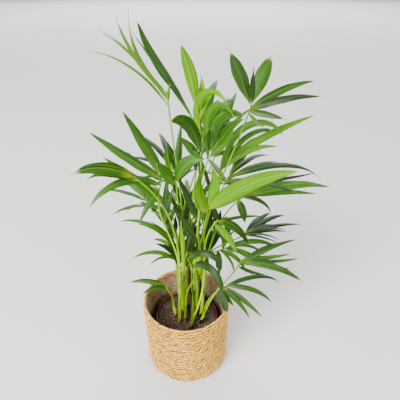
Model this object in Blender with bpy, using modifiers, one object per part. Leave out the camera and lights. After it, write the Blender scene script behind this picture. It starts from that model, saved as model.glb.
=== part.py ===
"""A young areca palm: a clump of seedlings in a plastic nursery pot that stands in a lined seagrass basket.

Metres, +Z up. The origin is the middle of the basket's flat underside.
Azimuths are in degrees: 0 is +X, 90 is +Y, 180 is -X and 270 is -Y. A lean is in degrees from the vertical.
"""

from dataclasses import dataclass

import bmesh
import bpy
import numpy as np

# Gap that touching solids keep
GAP = 0.0003

# Seagrass basket
BASKET_RADIUS = 0.115
BASKET_HEIGHT = 0.215
BASKET_FOOT_RADIUS = 0.112
BASKET_WALL = 0.007
BASKET_LIP = 0.0024
BASKET_CORNER = 0.014
TURN_STEPS = 36

# Clear plastic lining of the basket
LINER_WALL = 0.001
LINER_DROP = 0.022

# Nursery pot of the 17 cm size
POT_RIM_RADIUS = 0.086
POT_FOOT_RADIUS = 0.062
POT_HEIGHT = 0.142
POT_WALL = 0.0016
POT_LIP = 0.0030
POT_LIP_HEIGHT = 0.012

# Soil, up to a finger's width below the pot's rim
SOIL_DROP = 0.010

# Stems, each a seedling's stack of leaf sheaths
STEM_RADIUS = 0.0046
STEM_TIP_RADIUS = 0.0040
STEM_FLARE = 1.3
STEM_FLARE_HEIGHT = 0.008
STEM_STEPS = 4
STEM_SIDES = 8

# Stalks and ribs. A stalk leaves its stem upright for a share of its span and arrives along the rib
STALK_RADIUS = 0.0024
RIB_RADIUS = 0.0018
RIB_TIP_RADIUS = 0.0012
STALK_STEPS = 8
STALK_SIDES = 4
RIB_STEPS = 2
SEAT_RADIUS = 0.0031
SEAT_LENGTH = 0.006
UPRIGHT_SHARE = 0.50
ARRIVAL_SHARE = 0.30
RIB_MARGIN = 0.05

# Leaflets, each as thick at the midrib as a hundredth of its length or more
LEAFLET_THICKNESS = 0.0024
LEAFLET_KEEL = 0.16
LEAFLET_STATIONS = (0.0, 0.14, 0.34, 0.58, 0.82, 1.0)
ROOT_SHARE = 0.03
WIDEST_AT = 0.38
ROOT_FULLNESS = 0.55
DROOP_POWER = 1.5
LEVELLING = 0.5


@dataclass(frozen=True)
class Stem:
    """A slender stem: where it stands on the soil, how it leans, and its height to the fork."""

    foot: tuple
    lean: float
    azimuth: float
    height: float


@dataclass(frozen=True)
class Frond:
    """A frond: its stem, where its lowest leaflets leave, the way of its rib, and the way its upper side faces.

    A leaflet is the azimuth and lean it sets out with, its length and width in millimetres, and how far
    its lean grows from root to tip. The first is the lowest on the rib.
    """

    stem: str
    place: tuple
    azimuth: float
    lean: float
    rib: float
    face: tuple
    leaflets: tuple


STEMS = {
    "stem_front_left": Stem((-0.019, -0.025), 2, 0, 0.150),
    "stem_left": Stem((-0.014, 0.017), 1, 180, 0.140),
    "stem_middle_left": Stem((-0.007, -0.003), 1, 0, 0.170),
    "stem_back_left": Stem((-0.020, 0.040), 2, 150, 0.140),
    "stem_middle": Stem((0.002, 0.020), 1, 0, 0.180),
    "stem_front": Stem((0.017, -0.023), 2, 0, 0.140),
    "stem_middle_right": Stem((0.028, 0.003), 1, 340, 0.170),
    "stem_right": Stem((0.040, -0.002), 4, 345, 0.120),
    "stem_seedling_left": Stem((-0.030, -0.004), 6, 180, 0.040),
    "stem_seedling_front": Stem((0.011, -0.044), 15, 0, 0.070),
    "stem_seedling_middle": Stem((-0.003, -0.021), 2, 0, 0.060),
    "stem_seedling_right": Stem((0.040, -0.024), 14, 350, 0.055),
    "stem_back": Stem((0.008, 0.052), 2, 105, 0.160),
    "stem_back_middle": Stem((0.018, 0.037), 1, 60, 0.150),
    "stem_back_right": Stem((0.038, 0.034), 1, 0, 0.135),
}

FRONDS = {
    "frond_plume_left": Frond(
        "stem_middle_left", (-0.029, 0.050, 0.725), 120, 10, 0.030, (330, 60),
        ((188, 34, 195, 10, 50), (80, 20, 40, 8, 20), (180, 32, 195, 12, 30), (206, 34, 165, 12, 15),
         (164, 48, 185, 14, -35), (148, 58, 190, 12, -75)),
    ),
    "frond_plume_back": Frond(
        "stem_middle", (0.018, 0.100, 0.685), 145, 24, 0.020, (320, 60),
        ((142, 38, 180, 14, 5), (186, 34, 225, 12, 0), (156, 42, 215, 28, -20)),
    ),
    "frond_spear_centre": Frond(
        "stem_middle_right", (0.038, 0.054, 0.668), 160, 6, 0.028, (280, 70),
        ((318, -22, 165, 20, 190), (80, 36, 110, 16, -65), (45, 12, 85, 12, 70), (150, 8, 155, 28, 20)),
    ),
    "frond_folded_left": Frond(
        "stem_front", (0.039, 0.030, 0.607), 95, 24, 0.020, (280, 60),
        ((168, 36, 70, 22, 15), (48, 38, 55, 14, -40), (242, 20, 165, 32, 70)),
    ),
    "frond_dark_centre": Frond(
        "stem_middle_right", (0.055, 0.035, 0.605), 40, 32, 0.028, (290, 60),
        ((280, -12, 170, 18, 165), (355, 48, 90, 14, -30), (34, 34, 120, 20, 50), (304, -26, 185, 24, 165),
         (324, -4, 140, 28, 110)),
    ),
    "frond_long_right": Frond(
        "stem_back_right", (0.086, 0.070, 0.557), 28, 30, 0.044, (290, 50),
        ((328, 12, 105, 14, 10), (10, 48, 150, 16, 60), (25, 30, 190, 14, 110), (358, 4, 200, 18, 155),
         (14, 62, 230, 20, 15)),
    ),
    "frond_fan_right": Frond(
        "stem_back_right", (0.142, 0.060, 0.706), 45, 26, 0.022, (270, 60),
        ((290, 106, 85, 10, -30), (332, 90, 80, 16, 10), (354, 66, 155, 18, 30), (20, 62, 165, 18, 30),
         (140, 24, 120, 34, 15), (260, -4, 85, 18, 20), (54, 34, 115, 32, 15)),
    ),
    "frond_bright_front": Frond(
        "stem_front", (0.052, -0.060, 0.526), 45, 8, 0.018, (270, 60),
        ((218, 28, 125, 32, -60), (336, 42, 220, 36, 30), (30, 28, 95, 24, -60)),
    ),
    "frond_fan_left": Frond(
        "stem_front_left", (-0.052, 0.000, 0.555), 55, 30, 0.030, (300, 50),
        ((234, 118, 95, 14, 25), (214, 56, 185, 20, 90), (146, 68, 110, 14, -10), (184, 54, 185, 24, -5),
         (146, 38, 170, 28, 5)),
    ),
    "frond_bright_left": Frond(
        "stem_front_left", (-0.086, -0.061, 0.606), 215, 40, 0.016, (290, 60),
        ((158, 80, 145, 18, 55), (186, 60, 135, 28, 70)),
    ),
    "frond_dark_left": Frond(
        "stem_left", (-0.035, 0.035, 0.468), 155, 26, 0.026, (290, 50),
        ((192, 60, 85, 12, 10), (144, 72, 95, 16, 5), (168, 50, 185, 26, 10)),
    ),
    "frond_low_left": Frond(
        "stem_left", (-0.025, 0.040, 0.305), 140, 10, 0.090, (280, 40),
        ((200, 38, 140, 12, 90), (236, 10, 110, 16, 10), (150, 52, 80, 12, 85), (198, 26, 130, 14, 50),
         (164, 52, 165, 12, 70), (152, 10, 100, 14, 110)),
    ),
    "frond_seedling_left": Frond(
        "stem_seedling_left", (-0.047, -0.025, 0.272), 180, 24, 0.012, (280, 40),
        ((218, 48, 80, 12, 60), (178, 66, 95, 14, 50)),
    ),
    "frond_low_front": Frond(
        "stem_seedling_middle", (0.018, -0.060, 0.372), 155, 22, 0.030, (270, 30),
        ((314, 34, 160, 18, 195), (340, 38, 135, 16, 195)),
    ),
    "frond_rim_right": Frond(
        "stem_seedling_right", (0.091, 0.018, 0.224), 5, 56, 0.026, (280, 30),
        ((276, 70, 115, 22, 20), (300, 66, 135, 14, 50), (14, 66, 195, 14, 85), (306, 78, 145, 14, 20),
         (346, 78, 140, 16, 70)),
    ),
    "frond_low_right": Frond(
        "stem_seedling_right", (0.136, 0.017, 0.309), 10, 24, 0.026, (280, 30),
        ((348, 112, 75, 10, -25), (14, 60, 170, 14, 30), (16, 102, 185, 12, -10), (338, 76, 170, 22, 50),
         (8, 92, 135, 14, -10)),
    ),
    "frond_arched_front": Frond(
        "stem_seedling_front", (0.070, -0.030, 0.478), 0, 34, 0.014, (270, 30),
        ((304, 88, 95, 18, 55), (32, 96, 165, 10, 25), (324, 80, 95, 22, 80)),
    ),
    "frond_level_right": Frond(
        "stem_right", (0.129, 0.045, 0.494), 15, 50, 0.028, (280, 40),
        ((330, 148, 65, 22, 30), (48, 72, 140, 16, 45), (342, 80, 90, 12, 90), (2, 82, 180, 18, 20),
         (8, 76, 220, 28, 35)),
    ),
    "frond_mid_right": Frond(
        "stem_right", (0.082, 0.015, 0.557), 15, 52, 0.024, (280, 40),
        ((20, 98, 265, 12, -10), (330, 74, 170, 16, 25), (20, 78, 285, 18, 60)),
    ),
    "frond_back_low_right": Frond(
        "stem_back_right", (0.153, 0.073, 0.370), 20, 62, 0.018, (280, 20),
        ((4, 74, 120, 12, 35), (52, 78, 150, 16, 40), (40, 80, 170, 16, 40), (12, 80, 155, 14, 25)),
    ),
    "frond_dark_low_right": Frond(
        "stem_middle", (0.086, 0.070, 0.318), 10, 70, 0.030, (280, 30),
        ((274, 132, 65, 18, 20), (322, 78, 105, 14, 95), (74, 64, 130, 16, 50), (340, 84, 120, 16, 50),
         (356, 60, 145, 16, 70)),
    ),
    "frond_dark_inner": Frond(
        "stem_back_middle", (0.054, 0.075, 0.303), 70, 8, 0.026, (280, 40),
        ((24, 28, 145, 24, -30), (210, 88, 70, 14, 95), (160, 36, 95, 20, -25), (32, 4, 130, 22, 5)),
    ),
    "frond_young_spear": Frond(
        "stem_middle_left", (-0.030, 0.030, 0.570), 170, 6, 0.008, (270, 60),
        ((200, 12, 60, 8, 5), (340, 10, 50, 7, 5), (170, 4, 70, 7, 5)),
    ),
    "frond_two_leaf": Frond(
        "stem_middle_left", (-0.013, -0.030, 0.580), 270, 4, 0.008, (270, 40),
        ((220, 34, 78, 30, 6), (350, 12, 92, 30, 90)),
    ),
    "frond_back_left": Frond(
        "stem_back", (-0.020, 0.130, 0.500), 120, 40, 0.044, (0, 0),
        ((60, 64, 130, 20, 50), (190, 70, 120, 18, 50), (86, 58, 160, 20, 50), (162, 62, 150, 20, 50),
         (110, 54, 170, 20, 50), (140, 50, 165, 20, 50)),
    ),
    "frond_back_centre": Frond(
        "stem_back", (0.075, 0.140, 0.568), 65, 54, 0.044, (0, 0),
        ((10, 70, 130, 20, 50), (134, 52, 125, 20, 30), (30, 28, 160, 20, 55), (70, 32, 160, 20, 55),
         (68, 38, 175, 20, 35), (80, 50, 170, 20, 30)),
    ),
    "frond_back_high": Frond(
        "stem_back_left", (0.045, 0.115, 0.628), 75, 28, 0.040, (0, 0),
        ((25, 58, 120, 20, 50), (125, 60, 110, 20, 60), (48, 46, 150, 22, 60), (104, 48, 145, 22, 60),
         (76, 38, 160, 22, 65)),
    ),
    "frond_back_low": Frond(
        "stem_back", (0.010, 0.140, 0.370), 95, 55, 0.034, (0, 0),
        ((40, 74, 120, 16, 40), (155, 74, 120, 16, 40), (66, 70, 145, 16, 50), (126, 70, 145, 16, 50),
         (96, 62, 160, 18, 50)),
    ),
    "frond_back_right": Frond(
        "stem_back_middle", (0.105, 0.165, 0.474), 45, 42, 0.040, (0, 0),
        ((324, 60, 130, 18, 40), (116, 72, 130, 18, 20), (20, 64, 160, 20, 40), (58, 64, 160, 20, 35),
         (40, 64, 175, 20, 60), (56, 48, 175, 20, 60)),
    ),
    "frond_back_far_left": Frond(
        "stem_back_left", (-0.092, 0.132, 0.420), 145, 52, 0.034, (0, 0),
        ((90, 70, 120, 16, 45), (205, 74, 110, 16, 45), (116, 64, 150, 18, 45), (172, 64, 145, 18, 45),
         (142, 58, 165, 18, 45)),
    ),
}


def direction(lean, azimuth):
    """Unit vectors that lean from the vertical towards an azimuth, both in degrees."""
    lean, azimuth = np.radians(lean), np.radians(azimuth)
    level = np.sin(lean)
    return np.stack([level * np.cos(azimuth), level * np.sin(azimuth), np.cos(lean) + 0 * azimuth], axis=-1)


def unit(vector):
    return vector / np.linalg.norm(vector)


def pot_base():
    return BASKET_WALL + GAP + LINER_WALL + GAP


def soil_top():
    return pot_base() + POT_HEIGHT - SOIL_DROP


def stem_line(stem):
    """The foot of a stem, the top of its flare and its tip."""
    foot = np.array([*stem.foot, soil_top() + GAP])
    flare = foot + (0, 0, STEM_FLARE_HEIGHT)
    return foot, flare, flare + stem.height * direction(stem.lean, stem.azimuth)


def seat(name):
    """Where a frond starts on its stem's flat tip, and the way it rises there."""
    stem = STEMS[FRONDS[name].stem]
    tip = stem_line(stem)[2]
    rise = direction(stem.lean, stem.azimuth)
    borne = [other for other in FRONDS if FRONDS[other].stem == FRONDS[name].stem]
    if len(borne) == 1:
        return tip + rise * GAP, rise
    bearing = {}
    for other in borne:
        away = np.array(FRONDS[other].place[:2]) - tip[:2]
        bearing[other] = np.degrees(np.arctan2(away[1], away[0]))
    order = sorted(borne, key=bearing.get)
    turn = 360 / len(order)
    first = np.mean([bearing[other] - k * turn for k, other in enumerate(order)])
    side = direction(90, first + order.index(name) * turn)
    side = unit(side - rise * (side @ rise))
    return tip + side * SEAT_RADIUS + rise * GAP, rise


def stalk_line(name):
    """Points along a frond's stalk and rib. The rib starts at the point STALK_STEPS."""
    frond = FRONDS[name]
    start, rise = seat(name)
    low = start + rise * SEAT_LENGTH
    place = np.array(frond.place)
    onward = direction(frond.lean, frond.azimuth)
    span = np.linalg.norm(place - low)
    first, second = low + rise * span * UPRIGHT_SHARE, place - onward * span * ARRIVAL_SHARE
    t = np.linspace(0, 1, STALK_STEPS)[:, None]
    stalk = (1 - t) ** 3 * low + 3 * (1 - t) ** 2 * t * first + 3 * (1 - t) * t**2 * second + t**3 * place
    rib = place + onward * np.linspace(0, frond.rib, RIB_STEPS + 1)[1:, None]
    return np.vstack([start, stalk, rib])


def roots(name):
    """Where each leaflet of a frond leaves its rib, from the lowest up."""
    frond = FRONDS[name]
    share = np.linspace(RIB_MARGIN, 1 - RIB_MARGIN, len(frond.leaflets))[:, None]
    return np.array(frond.place) + direction(frond.lean, frond.azimuth) * frond.rib * share


def half_width(share, width):
    """Half the width of a lance-shaped leaflet at a share of its length."""
    rise = (np.maximum(share, ROOT_SHARE) / WIDEST_AT) ** ROOT_FULLNESS
    fall = ((1 - share) / (1 - WIDEST_AT)) ** (ROOT_FULLNESS * (1 - WIDEST_AT) / WIDEST_AT)
    return 0.5 * width * rise * fall


def leaflet_frames(root, face, azimuth, lean, length, droop):
    """Centre, width direction and upward direction of a leaflet at each of its stations."""
    share = np.array(LEAFLET_STATIONS)
    ways = direction(lean + droop * share**DROOP_POWER, azimuth + 0 * share)
    middle = 0.5 * (ways[1:] + ways[:-1]) * np.diff(share)[:, None] * length
    centres = root + np.vstack([ways[0] * share[0] * length, middle]).cumsum(axis=0)
    level = direction(90, azimuth + 90)
    uppers = np.cross(ways, level)
    facing = direction(face[1], face[0])
    turn = np.arctan2(-facing @ level, facing @ uppers[0]) * (1 - LEVELLING * share)
    widths = level * np.cos(turn)[:, None] + uppers * np.sin(turn)[:, None]
    return centres, widths, np.cross(ways, widths)


def blade_rings(frames, width):
    """Rings of four points round a leaflet, each with its keel up, and the leaflet's tip."""
    centres, widths, uppers = frames
    halves = half_width(np.array(LEAFLET_STATIONS), width)[:, None]
    thick = LEAFLET_THICKNESS / 2
    edge = widths * halves - uppers * halves * LEAFLET_KEEL
    other = -widths * halves - uppers * halves * LEAFLET_KEEL
    keel = uppers * thick
    rings = np.stack([centres + edge, centres + keel, centres + other, centres - keel], axis=1)
    return rings[:-1], centres[-1]


def stalk_radii():
    """The radius at each point of stalk_line: even up the stalk, then thinner along the rib."""
    stalk = np.linspace(STALK_RADIUS, RIB_RADIUS, STALK_STEPS + 1)
    return np.concatenate([stalk, np.linspace(RIB_RADIUS, RIB_TIP_RADIUS, RIB_STEPS + 1)[1:]])


def blade_faces(ring_count, tip):
    """Faces of a closed loft that ends in a point, through rings of an edge, upper keel, edge and lower keel.

    Each side is split from its keel out to its edge, so that the two sides stay apart where they twist.
    """
    faces = [(3, 2, 1, 0)]
    for ring in range(ring_count - 1):
        for k in range(4):
            low, high = ring * 4 + k, ring * 4 + (k + 1) % 4
            if k % 2:
                faces += [(low, high, high + 4), (low, high + 4, low + 4)]
            else:
                faces += [(low, high, low + 4), (high, high + 4, low + 4)]
    last = (ring_count - 1) * 4
    return faces + [(last + k, last + (k + 1) % 4, tip) for k in range(4)]


def blade_shape(frames, width):
    """Vertices and faces of a closed leaflet."""
    rings, tip = blade_rings(frames, width)
    vertices = [tuple(point) for point in rings.reshape(-1, 3)] + [tuple(tip)]
    return vertices, blade_faces(len(rings), len(vertices) - 1)


def new_material(name, colour, roughness):
    material = bpy.data.materials.new(name)
    material.use_nodes = True
    shader = material.node_tree.nodes["Principled BSDF"]
    shader.inputs["Base Color"].default_value = (*colour, 1)
    shader.inputs["Roughness"].default_value = roughness
    return material


def add_object(name, data, collection, material):
    made = bpy.data.objects.new(name, data)
    made.data.materials.append(material)
    collection.objects.link(made)
    return made


def add_turned(name, profile, collection, material):
    """A closed turned piece, whose profile starts and ends on the axis and runs down its outer side."""
    mesh = bpy.data.meshes.new(name)
    vertices = [(radius, 0, height) for radius, height in profile]
    mesh.from_pydata(vertices, [(k, k + 1) for k in range(len(vertices) - 1)], [])
    made = add_object(name, mesh, collection, material)
    screw = made.modifiers.new("turn", "SCREW")
    screw.steps = screw.render_steps = TURN_STEPS
    screw.use_merge_vertices = True
    screw.merge_threshold = 0.0001
    screw.use_smooth_shade = False
    return made


def corner(radius, height, size, steps=3):
    """Points round the lower outer corner of a turned profile, from the side to the underside."""
    angles = np.linspace(0, np.pi / 2, steps + 1)
    return [(radius - size + size * np.cos(a), height + size - size * np.sin(a)) for a in angles]


def make_basket(collection, material):
    inner = BASKET_RADIUS - BASKET_WALL
    inner_foot = BASKET_FOOT_RADIUS - BASKET_WALL
    lip = BASKET_LIP
    inside = [(0, BASKET_WALL), (inner_foot, BASKET_WALL), (inner, BASKET_HEIGHT - lip)]
    rim = [(inner + lip, BASKET_HEIGHT), (BASKET_RADIUS - lip, BASKET_HEIGHT),
           (BASKET_RADIUS, BASKET_HEIGHT - lip)]
    profile = inside + rim + corner(BASKET_FOOT_RADIUS, 0, BASKET_CORNER) + [(0, 0)]
    return add_turned("basket", profile, collection, material)


def basket_inner_radius(height):
    """Radius of the basket's inner wall at a height."""
    share = (height - BASKET_WALL) / (BASKET_HEIGHT - BASKET_LIP - BASKET_WALL)
    foot = BASKET_FOOT_RADIUS - BASKET_WALL
    return foot + share * (BASKET_RADIUS - BASKET_WALL - foot)


def make_liner(collection, material):
    base = BASKET_WALL + GAP
    top = BASKET_HEIGHT - LINER_DROP
    foot, rim = basket_inner_radius(base) - GAP * 2, basket_inner_radius(top) - GAP * 2
    profile = [(0, base + LINER_WALL), (foot - LINER_WALL, base + LINER_WALL), (rim - LINER_WALL, top),
               (rim, top), (foot, base), (0, base)]
    return add_turned("liner", profile, collection, material)


def pot_radius(height):
    """Outer radius of the nursery pot's wall at a height above its foot."""
    return POT_FOOT_RADIUS + (POT_RIM_RADIUS - POT_LIP - POT_FOOT_RADIUS) * height / POT_HEIGHT


def make_nursery_pot(collection, material):
    base, floor, top = pot_base(), pot_base() + POT_WALL, pot_base() + POT_HEIGHT
    profile = [(0, floor), (pot_radius(POT_WALL) - POT_WALL, floor), (pot_radius(POT_HEIGHT) - POT_WALL, top),
               (POT_RIM_RADIUS, top), (POT_RIM_RADIUS, top - POT_LIP_HEIGHT),
               (pot_radius(POT_HEIGHT - POT_LIP_HEIGHT), top - POT_LIP_HEIGHT), (POT_FOOT_RADIUS, base),
               (0, base)]
    return add_turned("nursery_pot", profile, collection, material)


def make_soil(collection, material):
    floor = POT_WALL + GAP
    top = POT_HEIGHT - SOIL_DROP
    inset = POT_WALL + GAP * 2
    profile = [(0, pot_base() + top), (pot_radius(top) - inset, pot_base() + top),
               (pot_radius(floor) - inset, pot_base() + floor), (0, pot_base() + floor)]
    return add_turned("soil", profile, collection, material)


def add_limb(name, line, radii, sides, collection, material):
    """A tapering limb along a line, as a closed mesh with flat ends."""
    curve = bpy.data.curves.new(name + "_line", "CURVE")
    curve.dimensions = "3D"
    curve.bevel_depth = 1
    curve.bevel_resolution = (sides - 4) // 2
    curve.use_fill_caps = True
    spline = curve.splines.new("POLY")
    spline.points.add(len(line) - 1)
    for point, place, radius in zip(spline.points, line, radii):
        point.co = (*place, 1)
        point.radius = radius
    guide = bpy.data.objects.new(name + "_guide", curve)
    collection.objects.link(guide)
    evaluated = guide.evaluated_get(bpy.context.evaluated_depsgraph_get())
    mesh = bpy.data.meshes.new_from_object(evaluated)
    mesh.name = name
    shape = bmesh.new()
    shape.from_mesh(mesh)
    bmesh.ops.remove_doubles(shape, verts=shape.verts, dist=0.00001)
    shape.to_mesh(mesh)
    shape.free()
    made = add_object(name, mesh, collection, material)
    made.matrix_world = guide.matrix_world
    bpy.data.objects.remove(guide)
    bpy.data.curves.remove(curve)
    return made


def make_stem(name, collection, material):
    foot, flare, tip = stem_line(STEMS[name])
    share = np.linspace(0, 1, STEM_STEPS)[:, None]
    line = np.vstack([foot, flare + (tip - flare) * share])
    taper = np.linspace(STEM_RADIUS, STEM_TIP_RADIUS, STEM_STEPS)
    radii = np.concatenate([[STEM_RADIUS * STEM_FLARE], taper])
    return add_limb(name, line, radii, STEM_SIDES, collection, material)


def make_frond(name, collection, material):
    """A frond: its stalk and rib in one limb, with its leaflets fused on by one union."""
    frond = FRONDS[name]
    made = add_limb(name, stalk_line(name), stalk_radii(), STALK_SIDES, collection, material)
    leaflets = bpy.data.collections.new(name + "_leaflets")
    bpy.context.scene.collection.children.link(leaflets)
    for root, (azimuth, lean, length, width, droop) in zip(roots(name), frond.leaflets):
        frames = leaflet_frames(root, frond.face, azimuth, lean, length / 1000, droop)
        vertices, faces = blade_shape(frames, width / 1000)
        mesh = bpy.data.meshes.new(name + "_leaflet")
        mesh.from_pydata(vertices, [], faces)
        add_object(mesh.name, mesh, leaflets, material)
    union = made.modifiers.new("leaflets", "BOOLEAN")
    union.operation = "UNION"
    union.operand_type = "COLLECTION"
    union.collection = leaflets
    union.solver = "MANIFOLD"
    bpy.context.view_layer.objects.active = made
    bpy.ops.object.modifier_apply(modifier=union.name)
    for leaflet in list(leaflets.objects):
        bpy.data.objects.remove(leaflet)
    bpy.data.collections.remove(leaflets)
    return made


def main():
    for old in list(bpy.data.objects):
        bpy.data.objects.remove(old)
    parts = bpy.data.collections.new("potted_areca_palm")
    bpy.context.scene.collection.children.link(parts)
    seagrass = new_material("seagrass", (0.52, 0.34, 0.17), 0.85)
    clear_film = new_material("clear_film", (0.72, 0.70, 0.66), 0.25)
    terracotta_plastic = new_material("terracotta_plastic", (0.25, 0.07, 0.03), 0.5)
    potting_soil = new_material("potting_soil", (0.035, 0.022, 0.015), 0.95)
    green_sheath = new_material("green_sheath", (0.30, 0.42, 0.06), 0.5)
    green_leaf = new_material("green_leaf", (0.07, 0.20, 0.02), 0.45)
    make_basket(parts, seagrass)
    make_liner(parts, clear_film)
    make_nursery_pot(parts, terracotta_plastic)
    make_soil(parts, potting_soil)
    for name in STEMS:
        make_stem(name, parts, green_sheath)
    for name in FRONDS:
        make_frond(name, parts, green_leaf)


if __name__ == "__main__":
    main()
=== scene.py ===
"""The looks of a young areca palm in its nursery pot and seagrass basket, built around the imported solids.

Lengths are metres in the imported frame, with +Z up. Azimuths are degrees from +X towards +Y, and a lean is in
degrees from the vertical. Stems and fronds grow by the same rule and the same named sizes as the solids.
"""

import logging
import math
from dataclasses import dataclass
from enum import Enum
from typing import Callable, Iterable

import bmesh
import bpy
import numpy as np
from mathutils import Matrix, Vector, noise


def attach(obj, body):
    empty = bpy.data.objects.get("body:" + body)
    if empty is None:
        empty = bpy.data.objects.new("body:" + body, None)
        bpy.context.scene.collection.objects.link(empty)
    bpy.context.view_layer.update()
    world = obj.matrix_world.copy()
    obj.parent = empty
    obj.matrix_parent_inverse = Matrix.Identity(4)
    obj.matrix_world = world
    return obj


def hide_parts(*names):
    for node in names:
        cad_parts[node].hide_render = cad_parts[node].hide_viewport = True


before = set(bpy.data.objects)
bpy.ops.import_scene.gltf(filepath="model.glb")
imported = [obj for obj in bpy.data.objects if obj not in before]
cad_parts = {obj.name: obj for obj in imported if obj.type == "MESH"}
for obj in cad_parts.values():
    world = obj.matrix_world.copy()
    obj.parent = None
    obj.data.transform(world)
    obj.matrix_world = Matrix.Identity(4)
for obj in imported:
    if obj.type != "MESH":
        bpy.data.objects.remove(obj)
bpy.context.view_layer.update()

LOG = logging.getLogger("areca_palm")
Array = np.ndarray
Socket = bpy.types.NodeSocket
Tree = bpy.types.NodeTree
SEED = 20


# Colours and nodes


def linear(hex_colour: str) -> tuple[float, float, float, float]:
    """The linear colour of an sRGB hex value.

    Args:
        hex_colour: Six hex digits.

    Returns:
        Red, green, blue and an alpha of 1.
    """
    channels = [int(hex_colour[k:k + 2], 16) / 255 for k in (0, 2, 4)]
    red, green, blue = (c / 12.92 if c <= 0.04045 else ((c + 0.055) / 1.055) ** 2.4 for c in channels)
    return red, green, blue, 1.0


def add_node(tree: Tree, kind: str, inputs: dict | None = None, **settings: object) -> bpy.types.Node:
    """Add a node with its settings and links.

    Args:
        tree: The node tree it goes in.
        kind: The node's type name.
        inputs: Input name or number, to a socket that feeds it or a value it holds.
        settings: Properties of the node.

    Returns:
        The new node.
    """
    node = tree.nodes.new(kind)
    for name, value in settings.items():
        setattr(node, name, value)
    for name, value in (inputs or {}).items():
        if isinstance(value, Socket):
            tree.links.new(value, node.inputs[name])
        else:
            node.inputs[name].default_value = value
    return node


def add_ramp(tree: Tree, factor: Socket, stops: dict[float, str]) -> Socket:
    """Add a colour ramp.

    Args:
        tree: The node tree it goes in.
        factor: The socket that drives it.
        stops: Place on the ramp, to an sRGB hex colour.

    Returns:
        The ramp's colour socket.
    """
    ramp = add_node(tree, "ShaderNodeValToRGB", {"Fac": factor})
    elements = ramp.color_ramp.elements
    while len(elements) < len(stops):
        elements.new(1.0)
    for element, place in zip(elements, sorted(stops)):
        element.position = place
        element.color = linear(stops[place])
    return ramp.outputs["Color"]


def value_of(tree: Tree, name: str) -> Socket:
    """Read a value that a mesh holds at its points.

    Args:
        tree: The node tree.
        name: The value's name: along, shade or pale.

    Returns:
        Its socket.
    """
    return add_node(tree, "ShaderNodeAttribute", attribute_name=name).outputs["Fac"]


def streaks(tree: Tree, pitch: float, length: float, detail: float = 2.0) -> Socket:
    """Noise on the pattern map, drawn out along it, for veins, grooves and fibres.

    Args:
        tree: The node tree.
        pitch: The width of a streak, in metres.
        length: Its length.
        detail: How many finer levels it has.

    Returns:
        The noise, from 0 to 1.
    """
    place = add_node(tree, "ShaderNodeUVMap", uv_map="UVMap").outputs["UV"]
    drawn = add_node(tree, "ShaderNodeMapping", {"Vector": place, "Scale": (1 / length, 1 / pitch, 1.0)})
    return add_node(tree, "ShaderNodeTexNoise", {"Vector": drawn.outputs["Vector"], "Scale": 1.0, "Detail": detail},
                    noise_dimensions="2D").outputs["Fac"]


def grain(tree: Tree, size: float, detail: float = 2.0, distortion: float = 0.0) -> Socket:
    """Noise in space.

    Args:
        tree: The node tree.
        size: The width of a grain, in metres.
        detail: How many finer levels it has.
        distortion: How far it is swirled.

    Returns:
        The noise, from 0 to 1.
    """
    spot = add_node(tree, "ShaderNodeTexCoord").outputs["Object"]
    return add_node(tree, "ShaderNodeTexNoise", {"Vector": spot, "Scale": 1 / size, "Detail": detail,
                                                 "Distortion": distortion}).outputs["Fac"]


def weigh(tree: Tree, *terms: tuple[Socket, float]) -> Socket:
    """Add values up.

    Args:
        tree: The node tree.
        terms: Each value and its weight.

    Returns:
        The weighted sum.
    """
    total: Socket | float = 0.0
    for socket, weight in terms:
        total = add_node(tree, "ShaderNodeMath", {0: socket, 1: weight, 2: total},
                         operation="MULTIPLY_ADD").outputs[0]
    return total


def blend(tree: Tree, factor: Socket | float, first: object, second: object, kind: str = "MIX") -> Socket:
    """Mix two colours.

    Args:
        tree: The node tree.
        factor: How much of the second.
        first: A colour or its socket.
        second: Another.
        kind: The blend type.

    Returns:
        The mixed colour.
    """
    return add_node(tree, "ShaderNodeMix", {0: factor, 6: first, 7: second}, data_type="RGBA",
                    blend_type=kind).outputs[2]


@dataclass(frozen=True)
class Finish:
    """What every finish has: its name, its roughness, its shine and how deep its relief is."""

    name: str
    roughness: float = 0.5
    shine: float = 0.3
    depth: float = 0.0005

    def surface(self, colour: Socket | None, height: Socket, tree: Tree, **more: object) -> bpy.types.Material:
        """Put a colour and a relief on the finish's material.

        Args:
            colour: The base colour.
            height: The relief.
            tree: The material's node tree.
            more: Inputs of the shader.

        Returns:
            The material.
        """
        shader = tree.nodes["Principled BSDF"]
        relief = add_node(tree, "ShaderNodeBump", {"Height": height, "Distance": self.depth, "Strength": 0.7})
        tree.links.new(relief.outputs["Normal"], shader.inputs["Normal"])
        if colour is not None:
            tree.links.new(colour, shader.inputs["Base Color"])
        shader.inputs["Roughness"].default_value = self.roughness
        shader.inputs["Specular IOR Level"].default_value = self.shine
        for name, value in more.items():
            shader.inputs[name.replace("_", " ")].default_value = value
        return bpy.data.materials[self.name]

    def tree(self) -> Tree:
        """A new material's node tree, under the finish's name."""
        material = bpy.data.materials.new(self.name)
        material.use_nodes = True
        return material.node_tree


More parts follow.
